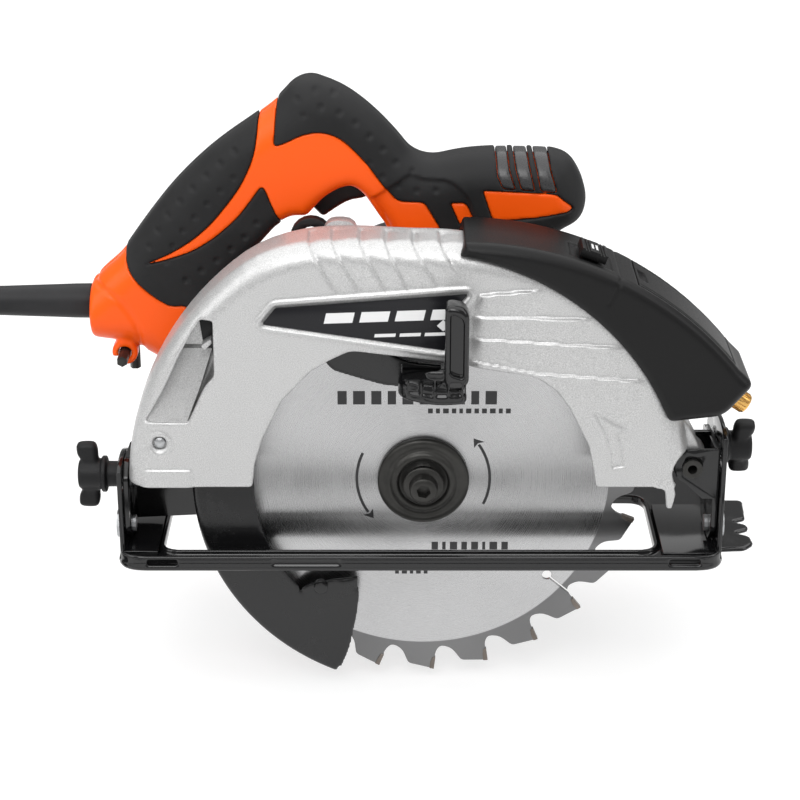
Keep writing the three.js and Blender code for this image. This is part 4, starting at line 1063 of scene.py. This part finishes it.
TOP_GRIP = [
    (-65.6, 240), (-65.6, 204.2), (-67.2, 183.9, 2), (-62.3, 185.4, 3), (-54.5, 189.3, 4), (-47.7, 190.6, 4),
    (-41.9, 189.8, 4), (-36.2, 186.9, 4), (-30.4, 181.3, 4), (-24.6, 174.8, 4), (-19.8, 167.7, 4),
    (-12, 158.1, 3), (0.2, 157.6, 2), (7.1, 145.9), (12, 120), (110, 120), (110, 240),
]
INLAYS = [
    [(12.1, 157.3, 1), (18.3, 157.3, 1), (19.9, 155.7, 1), (22.5, 149.8, 1), (16.5, 147.1, 1)],
    [(26.6, 163.6, 1), (59.4, 161.8, 2), (67.7, 154.9, 2), (65.1, 153.1, 1), (49.5, 150.6, 2),
     (32.4, 149.4, 2), (30.9, 150.8, 1)],
]
PANELS = [
    [(32.1, 180.9), (32.9, 170), (35.6, 164.4, 1), (41.5, 163.9, 1), (38.6, 172.4), (37.6, 181.3)],
    [(39.9, 181.3), (41.2, 172.4), (43.8, 163.8, 1), (50.2, 163.3, 1), (48.0, 172), (46.2, 181.3)],
    [(48.4, 181.3), (50.9, 171), (52.5, 163.2, 1), (60.3, 162.3, 2), (57.1, 172.4), (55.9, 180.9)],
]
COLLAR_CREASE = [(-153, 118.5), (-141, 112), (-133, 101), (-130.5, 88), (-131, 76)]
NECK = [(-6.6, 171.8, 4), (-0.4, 169, 4), (12, 168.6, 4), (18.2, 163.8, 4), (22.2, 157.3, 3), (23.9, 150, 3),
        (26, 138), (-10, 130), (-24, 160)]
SWITCH_POCKET = [(-57, 166), (-50, 200), (-30, 197), (-19, 168), (-22, 152), (-52, 146)]
DIMPLE_LINES = [
    [(-126.5, 133), (-116, 151), (-101, 167), (-84, 182)],
    [(-119, 126), (-111, 142), (-98, 157), (-84, 171)],
    [(-112, 119), (-101, 126), (-90, 134), (-80, 143), (-73, 152)],
    [(-57, 196), (-46, 202), (-34, 197), (-22, 186), (-10, 174), (2, 170)],
    [(-60, 203), (-46, 209), (-33, 203)],
    [(-27, 180), (-17, 169), (-5, 163.5), (8, 163.5)],
]
DIMPLE_GAP = 8.6
KEY_AT = (-138.8, 83.6)
LOCK_OFF_AT = (-47.0, 174.0)


def handle_solid(grid):
    """The whole handle: a rounded loop with a finger hole whose rims are eased."""
    x, y, z = grid.x, grid.y - HANDLE_Y, grid.z
    rounded = [point if len(point) == 3 else (*point, 12) for point in HANDLE_LOOP]
    outer = area(rounded, x, z)
    collar = step(-118.0 - 0.45 * (z - 100.0) - x, 26.0)
    half = HANDLE_HALF - 0.6 + 0.5 * collar
    body = slab(outer, y / half * HANDLE_HALF, -HANDLE_HALF, HANDLE_HALF, 14.0)
    body = both(body, HANDLE_REAR - x, 2.5)
    body = less(body, area(FINGER_HOLE, x, z), 7.0)
    body = less(body, circle(42.6, x, z, MOTOR), 1.0)
    body = body + 0.7 * hump(track(spline(COLLAR_CREASE, 6), x, z), 2.2)
    return body + 1.6 * step(0.5 - area(NECK, x, z), 2.2) * step(np.abs(y) - 8.0, 4.0)


def dimples(x, z):
    """Shallow round dents set out along the lines of each grip."""
    total = np.zeros(np.broadcast(x, z).shape)
    for line in DIMPLE_LINES:
        path = np.array(spline(line, 16))
        along = np.concatenate([[0.0], np.cumsum(np.hypot(*np.diff(path, axis=0).T))])
        for spot in np.arange(DIMPLE_GAP / 2, along[-1], DIMPLE_GAP):
            centre = [np.interp(spot, along, path[:, k]) for k in (0, 1)]
            total = np.maximum(total, hump(circle(0.0, x, z, centre), 2.2))
    return total


def handle_core(body, grips, pocket, grid):
    """The hard shell under the grips, with the clip for the hex key below its collar."""
    x, y, z = grid.x, grid.y, grid.z
    core = less(body, both(grips, -body - OVERMOLD), 0.4)
    core = less(core, pocket, 0.5)
    key_x = KEY_AT[0]
    clip = both(circle(6.0, x, z, KEY_AT), np.abs(y - 37.5) - 4.5, 1.5)
    clip = either(clip, block(grid, (key_x - 3, 33, 86), (key_x + 4, 42, 93), 1.0), 2.0)
    clip = less(clip, circle(3.2, x, z, KEY_AT), 0.8)
    clip = less(clip, block(grid, (key_x - 11, 28, 75), (key_x, 46, 81.8)), 0.8)
    core = either(core, clip, 1.0)
    return less(core, both(circle(4.9, x, z, LOCK_OFF_AT), HANDLE_Y - y), 0.8)


def add_handle():
    grid = Grid((-156, 27, 57), (77, 63, 216), 0.8)
    x, y, z = grid.x, grid.y, grid.z
    body = handle_solid(grid)
    rear = area(REAR_GRIP, x, z)
    top = less(area(TOP_GRIP, x, z), np.minimum(*[area(loop, x, z) for loop in INLAYS]))
    pocket = both(polygon(SWITCH_POCKET, x, z), np.abs(y - HANDLE_Y) - 7.2)
    core = handle_core(body, np.minimum(rear, top), pocket, grid)
    for name, side, node in (("handle_near", -1, "handle_near_half"), ("handle_far", 1, "handle_far_half")):
        half = both(core, -side * (y - HANDLE_Y) + 0.14, 0.5)
        fit(skin(name, half, grid), "saw_body", "orange_shell", ORANGE, node)

    rubber = body - 0.55 + 0.95 * dimples(x, z) * step(np.abs(y - HANDLE_Y) - 5.0, 4.0)
    bed = -body - OVERMOLD + JOINT_GAP
    panels = np.minimum.reduce([area(loop, x, z) for loop in PANELS])
    for name, region, node in (("rear_overmold", rear, "rear_grip"), ("top_overmold", top, "top_grip")):
        cover = both(both(rubber, region + JOINT_GAP, 1.0), bed)
        cover = less(cover, both(pocket, -z + 150))
        cover = less(cover, both(circle(5.6, x, z, LOCK_OFF_AT), HANDLE_Y - y), 0.8)
        cover = less(cover, panels, 0.5)
        fit(skin(name, cover, grid), "saw_body", "soft_grip", GRIP, node)
    plates = both(both(body - 0.2, panels + 0.3, 0.7), bed)
    fit(skin("grip_panels", plates, grid), "saw_body", "gloss_black", PANEL)


def add_trigger():
    grid = Grid((-54, 38, 143), (-21, 52, 170), 0.5)
    x, y, z = grid.x, grid.y, grid.z
    face = area([(-51.4, 153.4, 2), (-45.9, 147.6, 2), (-40.5, 151.6, 4), (-34, 155.6, 5), (-27.6, 156.6, 3),
                 (-24.4, 158, 2), (-23.4, 168, 2), (-44, 168, 3), (-48.5, 160, 3)], x, z)
    body = slab(face, y, HANDLE_Y - 6.1, HANDLE_Y + 6.1, 2.6)
    ribs = hump((x * 0.83 + z * 0.55) % 3.0 - 1.5, 0.8) * step(4.5 - np.abs(y - HANDLE_Y), 1.0)
    fit(skin("trigger_blade", body + 0.25 * ribs, grid), "trigger", "inner_black", INNER, "trigger")


def add_lock_off():
    profile = [(0, 54), (4.6, 54), (4.6, 64.2), (3.8, 65.0), (3.0, 65.2), (2.2, 64.8), (0, 64.6)]
    button = soften(lathe("lock_off_cap", profile, LOCK_OFF_AT, sides=40), 0.3)
    fit(button, "lock_off_button", "inner_black", INNER, "lock_off_button")


def add_hex_key():
    """A bent hexagonal key held in the clips on the handle's collar."""
    x, z = KEY_AT
    long_leg = turn(bar("hex_long", 2.6, 22.0, 70.5, KEY_AT, sides=6), 30.0, KEY_AT)
    short_leg = bar("hex_short", 2.6, z - 21.6, z + 1.6, (x, 69.6), "z", 6)
    key = soften(add(long_leg, short_leg), 0.35)
    fit(key, "saw_body", "black_oxide", OXIDE, "hex_key")


def add_handle_screws():
    """Recessed screws that draw the far half of the handle to the near one."""
    spots = [(-146.0, 106.0), (-92.0, 99.0), (-66.5, 171.0), (-15.0, 150.0), (26.0, 132.0)]
    head = [(0, 60.6), (3.1, 60.6), (3.1, 62.3), (2.4, 62.7), (0, 62.8)]
    screws = [soften(cross_screw(head, spot, 62.1, 63.4, 20), 0.12) for spot in spots]
    fit(merge("handle_screws", screws), "saw_body", "machined_steel", ZINC)


add_handle()
add_trigger()
add_lock_off()
add_hex_key()
add_handle_screws()


# ---------------------------------------------------------------- blade
BLADE_R, BLADE_T, TEETH, FIRST_TIP = 100.0, 1.8, 24, -12.0
SLOTS, SLOT_PHASE, SLOT_REACH = 4, -28.6, 76.5
# Corners below the tip circle, as (depth, degrees on from the tip, rounding): down the face,
# round the gullet and up to the back of the next tooth.
TOOTH = [(0.0, 0.0, 0.0), (8.8, 0.8, 2.0), (12.4, 2.4, 4.5), (10.4, 5.8, 4.5), (3.0, 8.0, 1.5)]
TIP = [(-0.1, 0.1), (6.0, 0.75), (6.2, -0.1), (4.0, -0.7), (0.45, -1.1)]
ARROW_MID = 30.5


def at_spindle(obj):
    """Puts a mesh made about the origin onto the spindle, so that its grain runs round it."""
    obj.location = (0.0, 0.0, SPINDLE_Z * MM)
    return obj


def add_blade():
    tips = [FIRST_TIP + 360.0 * i / TEETH for i in range(TEETH)]
    loop = [(*polar(BLADE_R - deep, tip + on), radius) for tip in tips for deep, on, radius in TOOTH]
    disc = prism("blade_disc", outline(loop, 3), -BLADE_T / 2, BLADE_T / 2)
    tools = [bar("bore", 8.0, -3, 3, sides=48)]
    for i in range(SLOTS):
        angle = FIRST_TIP + SLOT_PHASE + 360.0 * i / SLOTS
        eye = bar("eye", 2.3, -3, 3, polar(SLOT_REACH, angle), sides=24)
        tools.append(add(eye, turn(box("kerf", (SLOT_REACH, -3.1, -0.55), (92.0, 3.1, 0.55)), -angle)))
    disc = soften(cut(disc, *tools), 0.18, 1, 40.0)
    fit(at_spindle(disc), "spindle", "blade_steel", BLADE, "blade")
    faces = [[polar(BLADE_R - deep, tip + on) for deep, on in TIP] for tip in tips]
    carbide = soften(merge("carbide_tips", [prism("tip", face, -1.3, 1.3) for face in faces]), 0.15, 1)
    fit(at_spindle(carbide), "spindle", "blade_steel", CARBIDE)


def add_blade_print():
    """Two rotation arrows and generic bars printed on the blade."""
    face, back = -BLADE_T / 2 - 0.03, -BLADE_T / 2 + 0.05
    marks = []
    for start, end in ((-25.0, 34.0), (155.0, 214.0)):
        band = arc(ARROW_MID + 0.7, start, end, 24) + arc(ARROW_MID - 0.6, end, start, 24)
        marks.append(prism("arc", band, face, back))
        head = [(0.0, 7.5), (2.9, -0.5), (0.0, 1.5), (-2.7, -0.5)]
        marks.append(prism("head", [polar(ARROW_MID + out, end + on) for out, on in head], face, back))
    rows = [
        (-39.0, 37.0, 6.6, [4.2, 5.4, 4.6, 3.8, 5.0, 6.0, 4.4, 4.4, 3.6, 5.2]),
        (2.0, 32.6, 2.4, [2.2, 1.8, 2.6, 2.0, 1.6, 2.4, 2.0, 2.2, 2.6, 1.8, 2.2]),
        (4.0, -36.4, 4.0, [3.0, 1.6, 3.4, 2.6, 3.2, 1.4, 3.6, 3.0]),
        (-13.0, -49.0, 2.2, [1.8, 2.4, 1.6, 2.2, 1.8]),
    ]
    for x, z, height, widths in rows:
        for width in widths:
            marks.append(box("bar", (x, face, z), (x + width, back, z + height)))
            x += width + 0.34 * height + 0.6
    fit(at_spindle(merge("blade_print", marks)), "spindle", "blade_steel", PRINT)


def add_flange():
    profile = [(8, -1.2), (20.6, -1.2), (21, -1.6), (21, -3.6), (20.2, -4.6), (17.4, -5.0), (16.8, -4.6),
               (15.6, -4.6), (14.9, -5.2), (14.0, -6.2), (12.4, -6.4), (11.6, -5.8), (11.2, -4.8), (8, -4.8)]
    flange = soften(lathe("clamp_flange", profile, SPINDLE, sides=96), 0.25, 2, 50.0)
    fit(flange, "spindle", "black_oxide", OXIDE, "outer_flange")


def add_blade_bolt():
    """The bolt's head, with a hexagonal socket, and its shank."""
    head = [(0, -8.2), (9.2, -8.2), (9.4, -8.6), (9.4, -9.2), (8.9, -9.7), (6.6, -9.9), (6.3, -10.4),
            (6.2, -14.6), (5.6, -15.3), (0, -15.4)]
    bolt = lathe("blade_screw", head, SPINDLE, sides=64)
    shank = bar("shank", 4.0, -9.0, 12.0, SPINDLE)
    socket = turn(bar("socket", 3.3, -17.0, -11.6, SPINDLE, sides=6), 12.0, SPINDLE)
    bolt = soften(cut(add(bolt, shank), socket), 0.3, 2, 50.0)
    fit(bolt, "spindle", "black_oxide", OXIDE, "blade_bolt")


add_blade()
add_blade_print()
add_flange()
add_blade_bolt()


# ---------------------------------------------------------------- lower guard
RING_OUT, RING_IN, RING_HALF, RING_WALL = 106.0, 77.0, 9.0, 1.7
GUARD_TAIL = [(-38.5, -61.8, 1.5), (-33.5, -50, 8), (-31, -35, 8), (-29.5, -21.5, 2), (-29.5, -10.5, 1.5),
              (-52, -14.5, 5), (-57.5, -17.5, 2)]


def ring_sector(outer, inner, start, end):
    return arc(outer, start, end, 60, *SPINDLE) + arc(inner, end, start, 60, *SPINDLE)


def add_lower_guard():
    grid = Grid((-107, -9.5, -64), (35, 9.5, 142), 0.75)
    x, y, z = grid.x, grid.y, grid.z
    rim = arc(RING_OUT, 72, 247.5, 80, *SPINDLE)
    outer = polygon(rim + outline(GUARD_TAIL) + arc(RING_IN, 221.5, 72, 60, *SPINDLE), x, z)
    whole = polygon(ring_sector(RING_OUT, 60, 72, 247), x, z)
    shape = slab(np.minimum(outer, whole), y, -RING_HALF, RING_HALF, 3.2)
    cavity = polygon(ring_sector(RING_OUT - RING_WALL, 20, 60, 262), x, z)
    body = less(shape, slab(cavity, y, RING_WALL - RING_HALF, RING_HALF - RING_WALL, 1.6))
    body = less(body, both(-outer, y + 5.0), 1.6)
    around = circle(0, x, z, SPINDLE)
    hub = both(around - 34.0, 24.4 - around)
    webs = np.minimum(hub, polygon(ring_sector(61, 33, 110, 210), x, z))
    body = either(body, slab(webs, y, RING_HALF - RING_WALL, RING_HALF, 0.6), 0.6)
    arm = area([(-48, 104), (-42, 92, 4), (-16.5, 84, 6), (17, 84, 2), (17, 93, 3), (-10, 96, 8),
                (-28, 110)], x, z)
    body = either(body, slab(arm, y, -RING_HALF, -7.2, 0.8), 0.8)
    fit(skin("swing_guard", body, grid), "lower_guard", "guard_black", GUARD)


def add_guard_stop():
    profile = [(0, -12.2), (2.6, -12.2), (3.2, -11.6), (3.2, -8.2), (0, -8.2)]
    stop = soften(lathe("guard_stop", profile, (-47.5, -16.0), sides=32), 0.2)
    fit(stop, "lower_guard", "guard_black", GUARD, "lower_guard")


def add_guard_lever():
    """The finger lever: a boat-shaped foot with a ribbed, dished post."""
    grid = Grid((-13.5, -38.5, 84), (21, -8.5, 134), 0.5)
    x, y, z = grid.x, grid.y, grid.z
    hull = area([(-11, -9.3), (18, -9.3), (18, -24), (19, -33, 5), (4, -35, 8), (-12, -26, 7)], x, y)
    stem = slab(hull, z, 85, 93.0, 2.0)
    foot = area([(-12, -23.5, 3), (19, -23.5, 3), (19.4, -33, 5), (4, -35.5, 8), (-11.5, -29, 5)], x, y)
    base = slab(foot + 2.0 * (1 - step(z - 85.0, 17.0)), z, 85, 102.0, 2.2)
    keel = area([(-13, 112), (-12.2, 104.5, 2), (-9.3, 93.5, 5), (-0.4, 88.0, 8), (7.6, 85.4, 6),
                 (13.2, 86.3, 5), (18, 91.8, 4), (19.6, 97, 3), (19.6, 112)], x, z)
    base = both(base, keel, 2.5)
    base = less(base, block(grid, (-20, -23.0, 96), (8, -5, 110)), 2.0)
    base = less(base, block(grid, (-9.5, -33.0, 95), (7.0, -20, 115), 2.0), 1.0)
    post = area([(8.7, 93), (19.2, 93), (19.2, 128, 6), (17, 131.6, 4), (8.7, 133.2, 5)], x, z)
    dish = area([(10.9, 101, 2), (17.0, 99, 2), (17.0, 126.5, 3), (11.0, 129.5, 3)], x, z)
    column = less(slab(post, y, -37.4, -25.6, 2.6), slab(dish, y, -40.0, -34.8, 0.6), 1.0)
    body = either(either(stem, base, 2.0), column, 1.6)
    front = step(98.0 - z, 3.0) * step(-27.0 - y, 3.0)
    webs = hump((x + 10.5) % 6.0 - 3.0, 1.0)
    body = body + 1.1 * front * (1 - webs) * step(z - 88.5, 2.0)
    fit(skin("finger_lever", body, grid), "lower_guard", "gloss_black", GLOSS, "guard_lever")


add_lower_guard()
add_guard_stop()
add_guard_lever()


# ---------------------------------------------------------------- shoe and brackets
EDGE = 0.35


def refine(name, node, body, slot, material, width=EDGE):
    """A CAD node's own shape with its edges rounded."""
    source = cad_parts[node]
    mesh = source.data.copy()
    mesh.transform(source.matrix_world)
    work = bmesh.new()
    work.from_mesh(mesh)
    bmesh.ops.remove_doubles(work, verts=work.verts, dist=2e-6)
    bmesh.ops.dissolve_limit(work, angle_limit=math.radians(0.5), verts=work.verts, edges=work.edges)
    work.to_mesh(mesh)
    work.free()
    fit(soften(link(name, mesh), width), body, slot, material, node)


def add_shoe():
    """The pressed plate: turned-down lip, rim round the blade opening, pointed tab and side slots."""
    grid = Grid((-140, -26, -0.5), (157, 116, 8), 0.75)
    x, y, z = grid.x, grid.y, grid.z
    left, right, near, far = -139.6, 137.2, -25.0, 115.0
    edge = area(rectangle((left, near), (right, far), 13), x, y, 8)
    window = area(rectangle((-119.5, -12), (106.8, 46), 8), x, y, 8)
    tab = area([
        (120, -8.5), (149, -6.5, 2), (153.8, -1.3, 2), (153.3, 6.7, 2), (146.7, 10.3, 2), (153.8, 14.0, 2),
        (153.6, 19, 2), (147.1, 22.2, 2), (153.8, 25.2, 2), (155.4, 46, 3), (120, 46)], x, y)
    plate = slab(np.minimum(edge, tab), z, 0.0, 2.1, 0.8)
    lip = slab(both(edge, -edge - 2.2), z, 0.0, 7.0, 0.9)
    rim = slab(both(window - 2.0, -window), z, 0.0, 4.5, 0.8)
    body = either(either(plate, lip, 1.5), rim, 1.5)
    body = less(body, window, 0.6)
    for low, high, end in ((left, left + 2.8, 33.0), (right - 2.8, right, 39.0)):
        body = less(body, block(grid, (low - 2, -18, 2.1), (high + 2, end, 10), 1.0), 0.8)
    for start, end, low, deep in ((-68.7, -38, 2.6, -24.3), (112, 126, 2.4, -22.0), (-126, -112, 2.4, -22.0)):
        slot = area(rectangle((start, low), (end, low + 2.8), 1), x, z)
        body = less(body, slab(slot, y, near - 2.0, deep), 0.5)
    fit(skin("base_shoe", body, grid), "base", "black_enamel", ENAMEL, "shoe")


add_shoe()
refine("quadrant_front", "front_quadrant", "base", "black_enamel", ENAMEL)
refine("quadrant_rear", "rear_quadrant", "base", "black_enamel", ENAMEL)
refine("bracket_front", "front_tilt_bracket", "bevel_frame", "black_enamel", ENAMEL)
refine("bracket_rear", "rear_tilt_bracket", "bevel_frame", "black_enamel", ENAMEL)
refine("pivot_bolt", "depth_pivot_pin", "bevel_frame", "black_oxide", OXIDE)
refine("depth_lever", "depth_lock_lever", "depth_lock_lever", "inner_black", INNER, 1.0)
refine("spindle_lock_arch", "spindle_lock_lever", "spindle_lock_lever", "inner_black", INNER, 0.9)
refine("gearbox_casting", "gearbox_cover", "saw_body", "silver_cast", SILVER, 0.9)


def add_knob(name, centre, side, collar, spin, node):
    """A moulded butterfly knob on a collar, its wings waisted and its crown domed.
    It faces right for side 1 and left for side -1."""
    grid = Grid((-1, -19, -19), (23, 19, 19), 0.5)
    h, a, b = grid.x, grid.y, grid.z
    around = np.hypot(a, b)
    hub = both(around - 7.0, np.abs(h - collar - 7.0) - 6.6, 2.0)
    if collar > 1.0:
        hub = either(hub, both(around - 6.0, np.abs(h - collar / 2 - 0.2) - collar / 2 - 0.2), 0.6)
    skirt = both(around - 8.5, np.abs(h - collar - 1.6) - 1.2, 0.8)
    ear = area([(4, 4.5), (12.5, 4.2, 3), (15.9, 5.2, 3), (16.3, 9.5, 4), (15.6, 14.2, 4), (9.8, 13.8, 3),
                (7.0, 11.5, 3), (3, 11)], np.abs(b), h - collar)
    wings = slab(ear, a, -3.4, 3.4, 2.6)
    body = either(either(hub, skirt, 0.8), wings, 2.2)
    body = less(body, both(around - 3.3, 2.0 - h), 0.5)
    body = less(body, both(around - 2.6, collar + 12.0 - h), 1.0)
    knob = skin(name, body, grid)
    turn(knob, spin, axis="X")
    if side < 0:
        turn(knob, 180.0, axis="Z")
    move(knob, centre)
    fit(knob, node, "knob_rubber", KNOB, node)


add_knob("knob_front", (139.2, 18.0, 43.5), 1, 0.0, 24.0, "front_wing_knob")
add_knob("knob_rear", (-140.8, 10.0, 32.5), -1, 5.4, 0.0, "rear_wing_knob")


# ---------------------------------------------------------------- motor
MOTOR_R, MOTOR_SIDES = 42.0, 96


def add_motor_sleeve():
    """The orange sleeve: bearing seats, cooling slots and three low ribs."""
    shell = [(0, 48), (39, 48), (41, 48.8), (MOTOR_R, 50.5), (MOTOR_R, 147.6), (39, 147.6), (39, 51.4),
             (0, 51.4)]
    housing = lathe("motor_sleeve", shell, MOTOR, sides=MOTOR_SIDES)
    housing = add(housing, bar("seat", 14.0, 40.0, 49.0, SPINDLE), bar("inner_seat", 14.0, 50.0, 58.0, MOTOR))
    tools = [bar("bore", 11.3, 38, 48, SPINDLE), bar("bore", 11.3, 49.5, 60, MOTOR),
             bar("bore", 6.5, 38, 52, MOTOR)]
    for angle in (-60, -40, -20, 0, 160, 180, 200, 220):
        x, z = polar(MOTOR_R, angle, *MOTOR)
        slot = box("slot", (-6, 122, -1.5), (6, 143, 1.5))
        tools.append(move(turn(slot, -angle), (x, 0.0, z)))
    housing = soften(cut(housing, *tools), 0.5)
    fit(housing, "saw_body", "orange_shell", ORANGE, "motor_housing")
    ribs = []
    for at in (70.0, 79.0, 88.0):
        rib = [(41.6, at), (42.9, at + 0.6), (42.9, at + 2.4), (41.6, at + 3.0)]
        ribs.append(lathe("rib", rib, MOTOR, sides=MOTOR_SIDES))
    fit(soften(merge("motor_ribs", ribs), 0.3), "saw_body", "orange_shell", ORANGE)


def add_brush_caps():
    """Two coin-slotted caps on opposite sides of the sleeve."""
    profile = [(0, 38), (7.6, 38), (7.6, 42.6), (6.8, 43.4), (4.2, 43.4), (3.8, 42.8), (0, 42.8)]
    caps = []
    for angle in (0.0, 180.0):
        cap = lathe("brush", profile, (132.0, 0.0), "x", 40)
        cap = turn(cut(cap, box("coin", (41.9, 131.5, -3.6), (45, 132.5, 3.6))), angle)
        caps.append(move(cap, (MOTOR[0], 0.0, MOTOR[1])))
    fit(soften(merge("brush_caps", caps), 0.25), "saw_body", "inner_black", INNER)


def add_motor_cap():
    """The black end cap with its ring of vents and four screws."""
    crown = [(0, 172), (26, 172), (33, 170.6), (38.6, 167), (41.2, 163), (MOTOR_R, 158.6), (MOTOR_R, 148.3),
             (39, 148.3), (39, 160), (28, 169), (14, 169), (14, 158), (11.3, 158), (11.3, 169), (0, 169)]
    cap = lathe("motor_cap", crown, MOTOR, sides=MOTOR_SIDES)
    tools = []
    for k in range(16):
        tool = turn(box("vent", (17.5, 160, -1.3), (31.0, 176, 1.3)), -22.5 * k - 11.25)
        tools.append(move(tool, (MOTOR[0], 0.0, MOTOR[1])))
    fit(soften(cut(cap, *tools), 0.45), "saw_body", "inner_black", INNER, "motor_end_cap")
    head = [(0, 164), (3.4, 164), (3.4, 171.2), (2.8, 171.8), (0, 171.9)]
    screws = [cross_screw(head, polar(34.8, angle, *MOTOR), 171.0, 173, 15) for angle in (45, 135, 225, 315)]
    fit(soften(merge("cap_screws", screws), 0.15), "saw_body", "machined_steel", ZINC)


add_motor_sleeve()
add_brush_caps()
add_motor_cap()


# ---------------------------------------------------------------- carried-over nodes
CARRIED = [
    (STEEL, ["spindle", "inner_flange", "drive_gear", "armature_shaft", "spindle_bearing_front",
             "spindle_bearing_rear", "motor_bearing_front", "motor_bearing_rear", "guard_spring"]),
    (ZINC, ["front_bevel_rivet", "rear_bevel_rivet", "front_knob_bolt", "rear_knob_bolt",
            "front_knob_washer", "depth_lock_bolt", "laser_cell"]),
    (CORE, ["stator", "armature_core"]),
    (COPPER, ["commutator"]),
    (CARBON, ["carbon_brush_front", "carbon_brush_rear"]),
    (INNER, ["cooling_fan", "switch_module"]),
    (BRASS, ["laser_module"]),
]

for material, nodes in CARRIED:
    for node in nodes:
        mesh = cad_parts[node].data
        mesh.materials.clear()
        mesh.materials.append(material)
